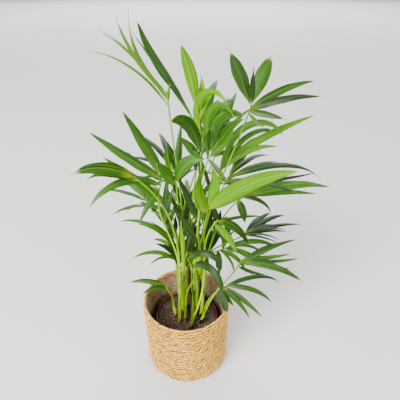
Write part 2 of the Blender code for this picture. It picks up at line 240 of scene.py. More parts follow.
@dataclass(frozen=True)
class LeafSkin(Finish):
    """Palm leaf: a smooth waxy skin over long parallel veins, which gives soft streaks and a broad sheen."""

    shadow: str = ""
    body: str = ""
    light: str = ""
    root: str = ""
    vein_pitch: float = 0.0014

    def build(self) -> bpy.types.Material:
        """Make the material.

        Returns:
            The leaf material.
        """
        tree = self.tree()
        # Real veins are a millimetre apart. Some are drawn three times as wide, so that they show a metre off
        fine, coarse = streaks(tree, self.vein_pitch, 0.20), streaks(tree, 3 * self.vein_pitch, 0.35)
        # Painted light and shade: each leaflet's value shade, with its veins, sets it between painted deep shade,
        # shadow, body and painted light tones
        lit = weigh(tree, (value_of(tree, "shade"), 0.55), (coarse, 0.55), (fine, 0.30), (grain(tree, 0.05), 0.15))
        green = add_ramp(tree, lit, {0.15: "0a1603", 0.45: self.shadow, 0.75: self.body,
                                    1.0: self.light})
        near_root = add_node(tree, "ShaderNodeMapRange", {"Value": value_of(tree, "along"), "From Max": 0.20,
                                                          "To Min": 0.45, "To Max": 0.0}).outputs["Result"]
        rooted = blend(tree, near_root, green, linear(self.root))
        colour = blend(tree, value_of(tree, "pale"), rooted, linear("b3a982"))
        return self.surface(colour, weigh(tree, (coarse, 0.6), (fine, 0.4)), tree)


@dataclass(frozen=True)
class StalkSkin(Finish):
    """Palm leaf sheath and stalk: smooth and waxy, yellow-green, with fine grooves that run its whole length."""

    foot: str = ""
    middle: str = ""
    top: str = ""
    groove_pitch: float = 0.0014

    def build(self) -> bpy.types.Material:
        """Make the material.

        Returns:
            The sheath or stalk material.
        """
        tree = self.tree()
        grooves = streaks(tree, self.groove_pitch, 0.11)
        height = add_ramp(tree, value_of(tree, "along"), {0.0: self.foot, 0.35: self.middle, 1.0: self.top})
        # The grey ramp on the value shade gives random tone between sheaths and stalks, and painted shade on stems
        # further back
        tone_and_painted_shade = add_ramp(tree, weigh(tree, (value_of(tree, "shade"), 1.0), (grooves, 0.5)),
                          {0.15: "2c2c2c", 0.50: "8a8a8a", 0.85: "ffffff"})
        return self.surface(blend(tree, 1.0, height, tone_and_painted_shade, "MULTIPLY"), grooves, tree)


@dataclass(frozen=True)
class SeagrassFibre(Finish):
    """Dried seagrass, twisted by hand into cord: dull straw with tan and brown blades, with painted shade in its
    crevices.
    """

    painted_crevice_shade: str = ""
    brown: str = ""
    body: str = ""
    straw: str = ""
    blade_width: float = 0.0020

    def build(self) -> bpy.types.Material:
        """Make the material.

        Returns:
            The cord material, which reads the value shade as how far a place stands out of the cord's crevices and
            paints shade into the deep places.
        """
        tree = self.tree()
        blades = streaks(tree, self.blade_width, 0.016, 3.0)
        tan = add_ramp(tree, weigh(tree, (blades, 0.8), (grain(tree, 0.018), 0.4)),
                       {0.48: self.brown, 0.60: self.body, 0.72: self.straw})
        # Painted shade: the dark crevice colour is mixed in where the value shade is low
        colour = blend(tree, value_of(tree, "shade"), linear(self.painted_crevice_shade), tan)
        # Painted shade: short dark flecks where the blades part, multiplied over the colour
        painted_gap_shade = add_ramp(tree, streaks(tree, 0.0026, 0.0065, 1.0), {0.33: "b89c74", 0.43: "ffffff"})
        return self.surface(blend(tree, 1.0, colour, painted_gap_shade, "MULTIPLY"), blades, tree)


@dataclass(frozen=True)
class ClearFilm(Finish):
    """Clear polythene film, blown thin and crumpled: nearly unseen, but for painted white glints along its creases."""

    crease_size: float = 0.010

    def build(self) -> bpy.types.Material:
        """Make the material.

        Returns:
            The film material.
        """
        tree = self.tree()
        crumple = grain(tree, self.crease_size, 2.0, 1.2)
        # Real creases are hairlines. They are drawn about a millimetre wide, as painted glints: pale, less clear lines
        # that stand in for light caught on the creases
        crease = add_ramp(tree, crumple, {0.47: "1a1a1a", 0.50: "e0e0e0", 0.53: "1a1a1a"})
        painted_glint_alpha = blend(tree, grain(tree, 0.035), linear("202020"), crease, "MIX")
        tree.links.new(painted_glint_alpha, tree.nodes["Principled BSDF"].inputs["Alpha"])
        return self.surface(None, crumple, tree, Base_Color=linear("e2dfd6"))


@dataclass(frozen=True)
class Speckled(Finish):
    """A dull grainy stuff of three tones, such as peat, bark, perlite or dusty plastic, uneven all over."""

    dark: str = ""
    body: str = ""
    light: str = ""
    speck: float = 0.0022

    def build(self) -> bpy.types.Material:
        """Make the material.

        Returns:
            The grainy material.
        """
        tree = self.tree()
        specks = grain(tree, self.speck, 4.0)
        colour = add_ramp(tree, specks, {0.36: self.dark, 0.52: self.body, 0.72: self.light})
        return self.surface(colour, specks, tree)


# Meshes


def deselect_all() -> None:
    """Leave no object selected, so that an operator acts only on the piece in hand."""
    for chosen in list(bpy.context.selected_objects):
        chosen.select_set(False)


def hold(piece: bpy.types.Object) -> bpy.types.Object:
    """Make a piece the only selected and the active object.

    Args:
        piece: The piece.

    Returns:
        The same piece.
    """
    deselect_all()
    piece.select_set(True)
    bpy.context.view_layer.objects.active = piece
    return piece


def take_primitive(name: str) -> bpy.types.Object:
    """Name the primitive that was just added and put its place into its mesh.

    Args:
        name: The piece's name.

    Returns:
        The piece, with its object at the origin.
    """
    piece = bpy.context.object
    piece.name = piece.data.name = name
    bpy.ops.object.transform_apply(location=True, rotation=True, scale=True)
    return piece


def pick(piece: bpy.types.Object, kind: str, test: Callable[[Vector, Vector], bool]) -> int:
    """In edit mode, select the faces or the edges that pass a test and no others.

    Args:
        piece: The piece in edit mode.
        kind: FACE or EDGE.
        test: Given a face's middle and its normal, or an edge's two ends, says whether to select it.

    Returns:
        How many are selected.
    """
    bpy.ops.mesh.select_mode(type=kind)
    shape = bmesh.from_edit_mesh(piece.data)
    for item in (*shape.verts, *shape.edges, *shape.faces):
        item.select = False
    if kind == "FACE":
        chosen = [face for face in shape.faces if test(face.calc_center_median(), face.normal)]
    else:
        chosen = [edge for edge in shape.edges if test(edge.verts[0].co, edge.verts[1].co)]
    for item in chosen:
        item.select = True
    shape.select_flush_mode()
    bmesh.update_edit_mesh(piece.data)
    return len(chosen)


def apply_modifier(piece: bpy.types.Object, kind: str, **settings: object) -> None:
    """Add a modifier to a piece and apply it.

    Args:
        piece: The piece, in object mode.
        kind: The modifier's type name.
        settings: Properties of the modifier.
    """
    hold(piece)
    modifier = piece.modifiers.new(kind.lower(), kind)
    for name, value in settings.items():
        setattr(modifier, name, value)
    bpy.ops.object.modifier_apply(modifier=modifier.name)


def move_points(piece: bpy.types.Object, rule: Callable[[Array], Array]) -> None:
    """Move a piece's vertices by a rule.

    Args:
        piece: The piece, in object mode.
        rule: Given the vertices as rows of x, y, z, gives their new places.
    """
    points = np.empty(len(piece.data.vertices) * 3)
    piece.data.vertices.foreach_get("co", points)
    piece.data.vertices.foreach_set("co", np.ravel(rule(points.reshape(-1, 3))))
    piece.data.update()


def ripple(points: Array, size: float, seed: float = 0.0) -> Array:
    """Smooth noise from about -1 to 1 at points in space.

    Args:
        points: Rows of x, y, z.
        size: The width of one bump, in metres.
        seed: Moves the noise to another place.

    Returns:
        One value for each point.
    """
    away = Vector((seed, -seed, 2 * seed))
    return np.array([noise.noise(Vector(point) / size + away) for point in points])


def dress(piece: bpy.types.Object, slot: str, nodes: Iterable[str], *materials: bpy.types.Material) -> bpy.types.Object:
    """Give a piece its materials, its body and the solids it stands for.

    Args:
        piece: The finished piece.
        slot: The record's material slot; not used.
        nodes: The CAD nodes that the piece stands for.
        materials: The piece's materials, in slot order.

    Returns:
        The same piece.
    """
    piece.data.materials.clear()
    for material in materials:
        piece.data.materials.append(material)
    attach(piece, "root")
    named = list(nodes)
    if named:
        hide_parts(*named)
    LOG.info("%s: %d faces, stands for %s", piece.name, len(piece.data.polygons), ", ".join(named) or "no node")
    return piece


class Cluster:
    """Many small closed shapes gathered into one mesh, with a pattern map and three values at each point."""

    def __init__(self, name: str) -> None:
        """Start an empty cluster.

        Args:
            name: The name of the piece that it becomes.
        """
        self.name = name
        self.count = 0
        self.faces: list[tuple[int, ...]] = []
        self.face_slots: list[int] = []
        self.rows: dict[str, list[Array]] = {"points": [], "map": [], "along": [], "shade": [], "pale": []}

    def add(self, points: Array, faces: list[tuple[int, ...]], map_uv: Array, along: Array | float,
            shade: float | Array, pale: float | Array = 0.0, slots: list[int] | None = None) -> None:
        """Add one closed shape.

        Args:
            points: Rows of x, y, z.
            faces: Vertex numbers within this shape, anticlockwise from outside.
            map_uv: A pattern place in metres for each point.
            along: A value from 0 at the shape's root to 1 at its tip.
            shade: How light it is, from 0 to 1.
            pale: How withered or pale it is, from 0 to 1.
            slots: The material slot of each face, all 0 if left out.
        """
        points = points.reshape(-1, 3)
        self.faces += [tuple(int(v) + self.count for v in face) for face in faces]
        self.face_slots += slots or [0] * len(faces)
        self.rows["points"].append(points)
        self.rows["map"].append(map_uv)
        for name, value in (("along", along), ("shade", shade), ("pale", pale)):
            self.rows[name].append(np.broadcast_to(np.ravel(value), len(points)))
        self.count += len(points)

    def build(self) -> bpy.types.Object:
        """Make the joined mesh.

        Returns:
            The piece, smooth shaded, with its UV map and its values along, shade and pale.
        """
        mesh = bpy.data.meshes.new(self.name)
        mesh.from_pydata([tuple(p) for p in np.vstack(self.rows["points"])], [], self.faces)
        mesh.polygons.foreach_set("material_index", self.face_slots)
        corners = np.empty(len(mesh.loops), dtype=np.int64)
        mesh.loops.foreach_get("vertex_index", corners)
        mesh.uv_layers.new(name="UVMap").data.foreach_set("uv", np.vstack(self.rows["map"])[corners].ravel())
        for name in ("along", "shade", "pale"):
            mesh.attributes.new(name, "FLOAT", "POINT").data.foreach_set("value", np.concatenate(self.rows[name]))
        mesh.shade_smooth()
        mesh.validate()
        piece = bpy.data.objects.new(self.name, mesh)
        bpy.context.scene.collection.objects.link(piece)
        return piece


def ring_faces(rings: int, sides: int, closed: bool = False) -> list[tuple[int, ...]]:
    """Faces of a tube of equal rings, anticlockwise from outside where the rings turn about the way along.

    Args:
        rings: How many rings.
        sides: How many points in each ring.
        closed: True where the last ring meets the first, as in a hoop. Otherwise both ends are capped.

    Returns:
        Vertex numbers of each face.
    """
    faces = []
    for ring in range(rings if closed else rings - 1):
        low, high = ring * sides, (ring + 1) % rings * sides
        faces += [(low + k, low + (k + 1) % sides, high + (k + 1) % sides, high + k) for k in range(sides)]
    if not closed:
        last = (rings - 1) * sides
        faces.append(tuple(range(sides))[::-1])
        faces.append(tuple(last + k for k in range(sides)))
    return faces


def carried_frames(line: Array, start: Array) -> tuple[Array, Array, Array]:
    """Directions along a line, and two across it that turn as little as they can.

    Args:
        line: Points along the line.
        start: A direction that the first side direction is near.

    Returns:
        The way along, a side direction and the direction square to both, at each point.
    """
    ways = np.gradient(line, axis=0)
    ways /= np.linalg.norm(ways, axis=1)[:, None]
    sides = []
    side = np.asarray(start, float)
    for way in ways:
        side = side - way * (side @ way)
        side = side / np.linalg.norm(side)
        sides.append(side)
    sides = np.array(sides)
    return ways, sides, np.cross(ways, sides)


def add_limb(cluster: Cluster, line: Array, start: Array, radius: Array, sides: int, shade: float,
             flute: Callable[[Array], Array] = np.ones_like) -> None:
    """Add a tapering limb along a line.

    Args:
        cluster: Where it goes.
        line: Points along its middle.
        start: The direction from the middle to its first side.
        radius: Its radius at each point.
        sides: How many sides it has.
        shade: How light it is.
        flute: Given the angles round it, how far out each side is.
    """
    _, first, second = carried_frames(line, start)
    angle = np.linspace(0, 2 * math.pi, sides, endpoint=False)
    out = radius[:, None] * flute(angle)
    points = line[:, None] + (first[:, None] * np.cos(angle)[None, :, None]
                              + second[:, None] * np.sin(angle)[None, :, None]) * out[..., None]
    run = np.concatenate([[0], np.cumsum(np.linalg.norm(np.diff(line, axis=0), axis=1))])
    girth = angle * float(np.mean(radius))
    map_uv = np.stack(np.broadcast_arrays(run[:, None], girth[None, :]), axis=-1).reshape(-1, 2)
    cluster.add(points, ring_faces(len(line), sides), map_uv, np.repeat(run / run[-1], sides), shade)


# How the plant grows, as the solids do

GAP = 0.0003
BASKET_RADIUS, BASKET_HEIGHT, BASKET_WALL, BASKET_FOOT_RADIUS, BASKET_CORNER = 0.115, 0.215, 0.007, 0.112, 0.014
LINER_WALL, LINER_DROP = 0.001, 0.022
POT_RIM_RADIUS, POT_FOOT_RADIUS, POT_HEIGHT = 0.086, 0.062, 0.142
POT_WALL, POT_LIP, POT_LIP_HEIGHT = 0.0016, 0.003, 0.012
SOIL_DROP = 0.010
POT_BASE = BASKET_WALL + GAP + LINER_WALL + GAP
SOIL_TOP = POT_BASE + POT_HEIGHT - SOIL_DROP
STEM_RADIUS, STEM_TIP_RADIUS, STEM_FLARE, STEM_FLARE_HEIGHT = 0.0046, 0.0040, 1.3, 0.008
STALK_RADIUS, RIB_RADIUS, RIB_TIP_RADIUS = 0.0024, 0.0018, 0.0012
SEAT_RADIUS, SEAT_LENGTH = 0.0031, 0.006
UPRIGHT_SHARE, ARRIVAL_SHARE, RIB_MARGIN = 0.50, 0.30, 0.05
ROOT_SHARE, WIDEST_AT, TIP_FULLNESS = 0.03, 0.38, 0.90
DROOP_POWER, LEVELLING = 1.5, 0.5


class Tone(Enum):
    """How old a frond is, which sets its green. Each is a material slot of the record."""

    YOUNG = "young_leaf"
    GREEN = "green_leaf"
    DARK = "dark_leaf"


@dataclass(frozen=True)
class Stem:
    """A slender stem: where it stands on the soil, how it leans, and its height to the fork."""

    foot: tuple[float, float]
    lean: float
    azimuth: float
    height: float

    def line(self) -> tuple[Array, Array, Array]:
        """Where the stem runs.

        Returns:
            Its foot, the top of its flare and its tip.
        """
        foot = np.array([*self.foot, SOIL_TOP + GAP])
        flare = foot + (0, 0, STEM_FLARE_HEIGHT)
        return foot, flare, flare + self.height * direction(self.lean, self.azimuth)

    def outline(self, share: Array) -> Array:
        """How thick the stem is.

        Args:
            share: Shares of its height.

        Returns:
            Its radius there.
        """
        taper = STEM_RADIUS + (STEM_TIP_RADIUS - STEM_RADIUS) * share
        return taper * (1 + (STEM_FLARE - 1) * np.exp(-share * self.height / STEM_FLARE_HEIGHT))


@dataclass(frozen=True)
class Frond:
    """A frond: its stem, the place of its lowest leaflets, the way of its rib, and the way its upper side faces.

    A leaflet is the azimuth and lean it sets out with, its length and width in millimetres, and how far its lean
    grows from root to tip. The first is the lowest on the rib. Light is how light its leaflets are painted for
    their tone, as painted light and shade: a low value paints a frond as if it stood in shade. Dry is the withered
    share at each leaflet's tip, and widest is the share where they are widest. Extra counts the thinner leaflets that
    stand among them.
    """

    stem: str
    place: tuple[float, float, float]
    azimuth: float
    lean: float
    rib: float
    face: tuple[float, float]
    leaflets: tuple[tuple[float, ...], ...]
    tone: Tone = Tone.GREEN
    light: tuple[float, ...] = (0.5,)
    dry: tuple[float, ...] = ()
    widest: tuple[float, ...] = (WIDEST_AT,)
    threaded: bool = False
    extra: int = 0


STEMS = {
    "stem_front_left": Stem((-0.019, -0.025), 2, 0, 0.150),
    "stem_left": Stem((-0.014, 0.017), 1, 180, 0.140),
    "stem_middle_left": Stem((-0.007, -0.003), 1, 0, 0.170),
    "stem_back_left": Stem((-0.020, 0.040), 2, 150, 0.140),
    "stem_middle": Stem((0.002, 0.020), 1, 0, 0.180),
    "stem_front": Stem((0.017, -0.023), 2, 0, 0.140),
    "stem_middle_right": Stem((0.028, 0.003), 1, 340, 0.170),
    "stem_right": Stem((0.040, -0.002), 4, 345, 0.120),
    "stem_seedling_left": Stem((-0.030, -0.004), 6, 180, 0.040),
    "stem_seedling_front": Stem((0.011, -0.044), 15, 0, 0.070),
    "stem_seedling_middle": Stem((-0.003, -0.021), 2, 0, 0.060),
    "stem_seedling_right": Stem((0.040, -0.024), 14, 350, 0.055),
    "stem_back": Stem((0.008, 0.052), 2, 105, 0.160),
    "stem_back_middle": Stem((0.018, 0.037), 1, 60, 0.150),
    "stem_back_right": Stem((0.038, 0.034), 1, 0, 0.135),
}

FRONDS = {
    "frond_plume_left": Frond(
        "stem_middle_left", (-0.029, 0.050, 0.725), 120, 10, 0.030, (330, 60),
        ((188, 34, 195, 10, 50), (80, 20, 40, 8, 20), (180, 32, 195, 12, 30), (206, 34, 165, 12, 15),
         (164, 48, 185, 14, -35), (148, 58, 190, 12, -75)),
        light=(1.0,), dry=(0.05, 0, 0.14, 0.12, 0.18, 0.40),
    ),
    "frond_plume_back": Frond(
        "stem_middle", (0.018, 0.100, 0.685), 145, 24, 0.020, (320, 60),
        ((142, 38, 180, 14, 5), (186, 34, 225, 12, 0), (156, 42, 215, 28, -20)),
        tone=Tone.DARK,
        light=(0.35, 0.5, 0.45), dry=(0.12, 0.16, 0.03), widest=(0.4, 0.4, 0.6),
    ),
    "frond_spear_centre": Frond(
        "stem_middle_right", (0.038, 0.054, 0.668), 160, 6, 0.028, (280, 70),
        ((318, -22, 165, 20, 190), (80, 36, 110, 16, -65), (45, 12, 85, 12, 70), (150, 8, 155, 28, 20)),
        tone=Tone.YOUNG,
        light=(0.45, 0.5, 0.5, 0.45), dry=(0.06, 0.04, 0.02, 0.03), widest=(0.28, 0.5, 0.5, 0.62), threaded=True,
    ),
    "frond_folded_left": Frond(
        "stem_front", (0.039, 0.030, 0.607), 95, 24, 0.020, (280, 60),
        ((168, 36, 70, 22, 15), (48, 38, 55, 14, -40), (242, 20, 165, 32, 70)),
        tone=Tone.DARK,
        light=(0.45,), widest=(0.5,),
    ),
    "frond_dark_centre": Frond(
        "stem_middle_right", (0.055, 0.035, 0.605), 40, 32, 0.028, (290, 60),
        ((280, -12, 170, 18, 165), (355, 48, 90, 14, -30), (34, 34, 120, 20, 50), (304, -26, 185, 24, 165),
         (324, -4, 140, 28, 110)),
        tone=Tone.DARK,
        light=(0.6,), widest=(0.45,),
    ),
    "frond_long_right": Frond(
        "stem_back_right", (0.086, 0.070, 0.557), 28, 30, 0.044, (290, 50),
        ((328, 12, 105, 14, 10), (10, 48, 150, 16, 60), (25, 30, 190, 14, 110), (358, 4, 200, 18, 155),
         (14, 62, 230, 20, 15)),
        light=(0.55,), dry=(0.04, 0.03, 0.10, 0.04, 0.02),
    ),
    "frond_fan_right": Frond(
        "stem_back_right", (0.142, 0.060, 0.706), 45, 26, 0.022, (270, 60),
        ((290, 106, 85, 10, -30), (332, 90, 80, 16, 10), (354, 66, 155, 18, 30), (20, 62, 165, 18, 30),
         (140, 24, 120, 34, 15), (260, -4, 85, 18, 20), (54, 34, 115, 32, 15)),
        light=(0.5, 0.0, -0.3, -0.2, 0.0, -0.2, 0.1), dry=(0.30, 0.10, 0.08, 0.04, 0.05, 0.04, 0.10),
        widest=(0.4, 0.4, 0.4, 0.4, 0.6, 0.55, 0.55), threaded=True,
    ),
    "frond_bright_front": Frond(
        "stem_front", (0.052, -0.060, 0.526), 45, 8, 0.018, (270, 60),
        ((218, 28, 125, 32, -60), (336, 42, 220, 36, 30), (30, 28, 95, 24, -60)),
        tone=Tone.YOUNG,
        light=(0.5, 0.4, 0.4),
    ),
    "frond_fan_left": Frond(
        "stem_front_left", (-0.052, 0.000, 0.555), 55, 30, 0.030, (300, 50),
        ((234, 118, 95, 14, 25), (214, 56, 185, 20, 90), (146, 68, 110, 14, -10), (184, 54, 185, 24, -5),
         (146, 38, 170, 28, 5)),
        light=(0.3,), dry=(0.02, 0.06, 0.02, 0.05, 0.07),
    ),
    "frond_bright_left": Frond(
        "stem_front_left", (-0.086, -0.061, 0.606), 215, 40, 0.016, (290, 60),
        ((158, 80, 145, 18, 55), (186, 60, 135, 28, 70)),
        tone=Tone.YOUNG,
        light=(-0.15, -0.4), dry=(0.02, 0.22),
    ),
    "frond_dark_left": Frond(
        "stem_left", (-0.035, 0.035, 0.468), 155, 26, 0.026, (290, 50),
        ((192, 60, 85, 12, 10), (144, 72, 95, 16, 5), (168, 50, 185, 26, 10)),
        tone=Tone.DARK,
        light=(0.7,), dry=(0.10, 0.06, 0.02),
        extra=2,
    ),
    "frond_low_left": Frond(
        "stem_left", (-0.025, 0.040, 0.305), 140, 10, 0.090, (280, 40),
        ((200, 38, 140, 12, 90), (236, 10, 110, 16, 10), (150, 52, 80, 12, 85), (198, 26, 130, 14, 50),
         (164, 52, 165, 12, 70), (152, 10, 100, 14, 110)),
        tone=Tone.DARK,
        light=(0.7,), dry=(0.12, 0.02, 0.02, 0.02, 0.03, 0.02),
        extra=4,
    ),
    "frond_seedling_left": Frond(
        "stem_seedling_left", (-0.047, -0.025, 0.272), 180, 24, 0.012, (280, 40),
        ((218, 48, 80, 12, 60), (178, 66, 95, 14, 50)),
        tone=Tone.DARK,
        light=(0.25,),
    ),
    "frond_low_front": Frond(
        "stem_seedling_middle", (0.018, -0.060, 0.372), 155, 22, 0.030, (270, 30),
        ((314, 34, 160, 18, 195), (340, 38, 135, 16, 195)),
        tone=Tone.DARK,
        light=(-0.1,),
    ),
    "frond_rim_right": Frond(
        "stem_seedling_right", (0.091, 0.018, 0.224), 5, 56, 0.026, (280, 30),
        ((276, 70, 115, 22, 20), (300, 66, 135, 14, 50), (14, 66, 195, 14, 85), (306, 78, 145, 14, 20),
         (346, 78, 140, 16, 70)),
        light=(0.1,), dry=(0.14, 0.02, 0.04, 0.03, 0.03),
        extra=1,
    ),
    "frond_low_right": Frond(
        "stem_seedling_right", (0.136, 0.017, 0.309), 10, 24, 0.026, (280, 30),
        ((348, 112, 75, 10, -25), (14, 60, 170, 14, 30), (16, 102, 185, 12, -10), (338, 76, 170, 22, 50),
         (8, 92, 135, 14, -10)),
        light=(0.1,), dry=(0.04, 0.02, 0.03, 0.10, 0.02),
        extra=3,
    ),
    "frond_arched_front": Frond(
        "stem_seedling_front", (0.070, -0.030, 0.478), 0, 34, 0.014, (270, 30),
        ((304, 88, 95, 18, 55), (32, 96, 165, 10, 25), (324, 80, 95, 22, 80)),
        tone=Tone.YOUNG,
        light=(0.5, -0.3, -0.4),
    ),
    "frond_level_right": Frond(
        "stem_right", (0.129, 0.045, 0.494), 15, 50, 0.028, (280, 40),
        ((330, 148, 65, 22, 30), (48, 72, 140, 16, 45), (342, 80, 90, 12, 90), (2, 82, 180, 18, 20),
         (8, 76, 220, 28, 35)),
        light=(0.15,), dry=(0.10, 0.02, 0.03, 0.03, 0.02),
        extra=2,
    ),
    "frond_mid_right": Frond(
        "stem_right", (0.082, 0.015, 0.557), 15, 52, 0.024, (280, 40),
        ((20, 98, 265, 12, -10), (330, 74, 170, 16, 25), (20, 78, 285, 18, 60)),
        light=(-0.4, 0.0, -0.3),
    ),
    "frond_back_low_right": Frond(
        "stem_back_right", (0.153, 0.073, 0.370), 20, 62, 0.018, (280, 20),
        ((4, 74, 120, 12, 35), (52, 78, 150, 16, 40), (40, 80, 170, 16, 40), (12, 80, 155, 14, 25)),
        light=(-0.3,),
        extra=6,
    ),
    "frond_dark_low_right": Frond(
        "stem_middle", (0.086, 0.070, 0.318), 10, 70, 0.030, (280, 30),
        ((274, 132, 65, 18, 20), (322, 78, 105, 14, 95), (74, 64, 130, 16, 50), (340, 84, 120, 16, 50),
         (356, 60, 145, 16, 70)),
        tone=Tone.DARK,
        light=(0.5,),
        extra=10,
    ),
    "frond_dark_inner": Frond(
        "stem_back_middle", (0.054, 0.075, 0.303), 70, 8, 0.026, (280, 40),
        ((24, 28, 145, 24, -30), (210, 88, 70, 14, 95), (160, 36, 95, 20, -25), (32, 4, 130, 22, 5)),
        tone=Tone.DARK,
        light=(0.1,),
        extra=6,
    ),
    "frond_young_spear": Frond(
        "stem_middle_left", (-0.030, 0.030, 0.570), 170, 6, 0.008, (270, 60),
        ((200, 12, 60, 8, 5), (340, 10, 50, 7, 5), (170, 4, 70, 7, 5)),
        tone=Tone.YOUNG,
        light=(0.1,),
    ),
    "frond_two_leaf": Frond(
        "stem_middle_left", (-0.013, -0.030, 0.580), 270, 4, 0.008, (270, 40),
        ((220, 34, 78, 30, 6), (350, 12, 92, 30, 90)),
        tone=Tone.DARK,
        light=(0.6,), widest=(0.45,),
    ),
    "frond_back_left": Frond(
        "stem_back", (-0.020, 0.130, 0.500), 120, 40, 0.044, (0, 0),
        ((60, 64, 130, 20, 50), (190, 70, 120, 18, 50), (86, 58, 160, 20, 50), (162, 62, 150, 20, 50),
         (110, 54, 170, 20, 50), (140, 50, 165, 20, 50)),
        light=(-0.4,),
        extra=3,
    ),
    "frond_back_centre": Frond(
        "stem_back", (0.075, 0.140, 0.568), 65, 54, 0.044, (0, 0),
        ((10, 70, 130, 20, 50), (134, 52, 125, 20, 30), (30, 28, 160, 20, 55), (70, 32, 160, 20, 55),
         (68, 38, 175, 20, 35), (80, 50, 170, 20, 30)),
        light=(0.3,),
        extra=3,
    ),
    "frond_back_high": Frond(
        "stem_back_left", (0.045, 0.115, 0.628), 75, 28, 0.040, (0, 0),
        ((25, 58, 120, 20, 50), (125, 60, 110, 20, 60), (48, 46, 150, 22, 60), (104, 48, 145, 22, 60),
         (76, 38, 160, 22, 65)),
        light=(0.1,),
        extra=3,
    ),
    "frond_back_low": Frond(
        "stem_back", (0.010, 0.140, 0.370), 95, 55, 0.034, (0, 0),
        ((40, 74, 120, 16, 40), (155, 74, 120, 16, 40), (66, 70, 145, 16, 50), (126, 70, 145, 16, 50),
         (96, 62, 160, 18, 50)),
        light=(0.8,),
        extra=6,
    ),
    "frond_back_right": Frond(
        "stem_back_middle", (0.105, 0.165, 0.474), 45, 42, 0.040, (0, 0),
        ((324, 60, 130, 18, 40), (116, 72, 130, 18, 20), (20, 64, 160, 20, 40), (58, 64, 160, 20, 35),
         (40, 64, 175, 20, 60), (56, 48, 175, 20, 60)),
        light=(0.1,),
        extra=3,
    ),
    "frond_back_far_left": Frond(
        "stem_back_left", (-0.092, 0.132, 0.420), 145, 52, 0.034, (0, 0),
        ((90, 70, 120, 16, 45), (205, 74, 110, 16, 45), (116, 64, 150, 18, 45), (172, 64, 145, 18, 45),
         (142, 58, 165, 18, 45)),
        light=(0.4,),
        extra=3,
    ),
}

def direction(lean: float | Array, azimuth: float | Array) -> Array:
    """Unit vectors that lean from the vertical towards an azimuth.

    Args:
        lean: Degrees from the vertical.
        azimuth: Degrees from +X towards +Y.

    Returns:
        One vector for each.
    """
    lean, azimuth = np.radians(lean), np.radians(azimuth)
    level = np.sin(lean)
    return np.stack([level * np.cos(azimuth), level * np.sin(azimuth), np.cos(lean) + 0 * azimuth], axis=-1)


def seat(name: str) -> tuple[Array, Array, Array]:
    """Where a frond starts on its stem's tip.

    Args:
        name: The frond's name.

    Returns:
        The point, the way the frond rises there, and the side of the stem that it leaves by.
    """
    stem = STEMS[FRONDS[name].stem]
    tip = stem.line()[2]
    rise = direction(stem.lean, stem.azimuth)
    borne = [other for other in FRONDS if FRONDS[other].stem == FRONDS[name].stem]
    bearing = {}
    for other in borne:
        away = np.array(FRONDS[other].place[:2]) - tip[:2]
        bearing[other] = np.degrees(np.arctan2(away[1], away[0]))
    order = sorted(borne, key=bearing.get)
    turn = 360 / len(order)
    first = np.mean([bearing[other] - k * turn for k, other in enumerate(order)])
    side = direction(90, first + order.index(name) * turn)
    side = side - rise * (side @ rise)
    side = side / np.linalg.norm(side)
    reach = SEAT_RADIUS if len(order) > 1 else 0.0
    return tip + side * reach + rise * GAP, rise, side


def stalk_line(name: str, steps: int, rib_steps: int) -> Array:
    """Points along a frond's stalk and rib.

    Args:
        name: The frond's name.
        steps: How many points along the stalk.
        rib_steps: How many more along the rib.

    Returns:
        Rows of x, y, z.
    """
    frond = FRONDS[name]
    start, rise, _ = seat(name)
    low = start + rise * SEAT_LENGTH
    place = np.array(frond.place)
    onward = direction(frond.lean, frond.azimuth)
    span = np.linalg.norm(place - low)
    first, second = low + rise * span * UPRIGHT_SHARE, place - onward * span * ARRIVAL_SHARE
    t = np.linspace(0, 1, steps)[:, None]
    stalk = (1 - t) ** 3 * low + 3 * (1 - t) ** 2 * t * first + 3 * (1 - t) * t**2 * second + t**3 * place
    rib = place + onward * np.linspace(0, frond.rib, rib_steps + 1)[1:, None]
    return np.vstack([start, stalk, rib])


def leaflet_roots(name: str) -> Array:
    """Where each leaflet of a frond leaves its rib.

    Args:
        name: The frond's name.

    Returns:
        Rows of x, y, z, from the lowest leaflet up.
    """
    frond = FRONDS[name]
    share = np.linspace(RIB_MARGIN, 1 - RIB_MARGIN, len(frond.leaflets))[:, None]
    return np.array(frond.place) + direction(frond.lean, frond.azimuth) * frond.rib * share


def half_width(share: Array, width: float, widest: float) -> Array:
    """Half the width of a lance-shaped leaflet.

    Args:
        share: Shares of its length.
        width: Its greatest width.
        widest: The share of its length where it is widest.

    Returns:
        Half its width there.
    """
    rise = (np.maximum(share, ROOT_SHARE) / widest) ** (TIP_FULLNESS * widest / (1 - widest))
    fall = ((1 - share) / (1 - widest)) ** TIP_FULLNESS
    return 0.5 * width * rise * fall


# Sub-assemblies


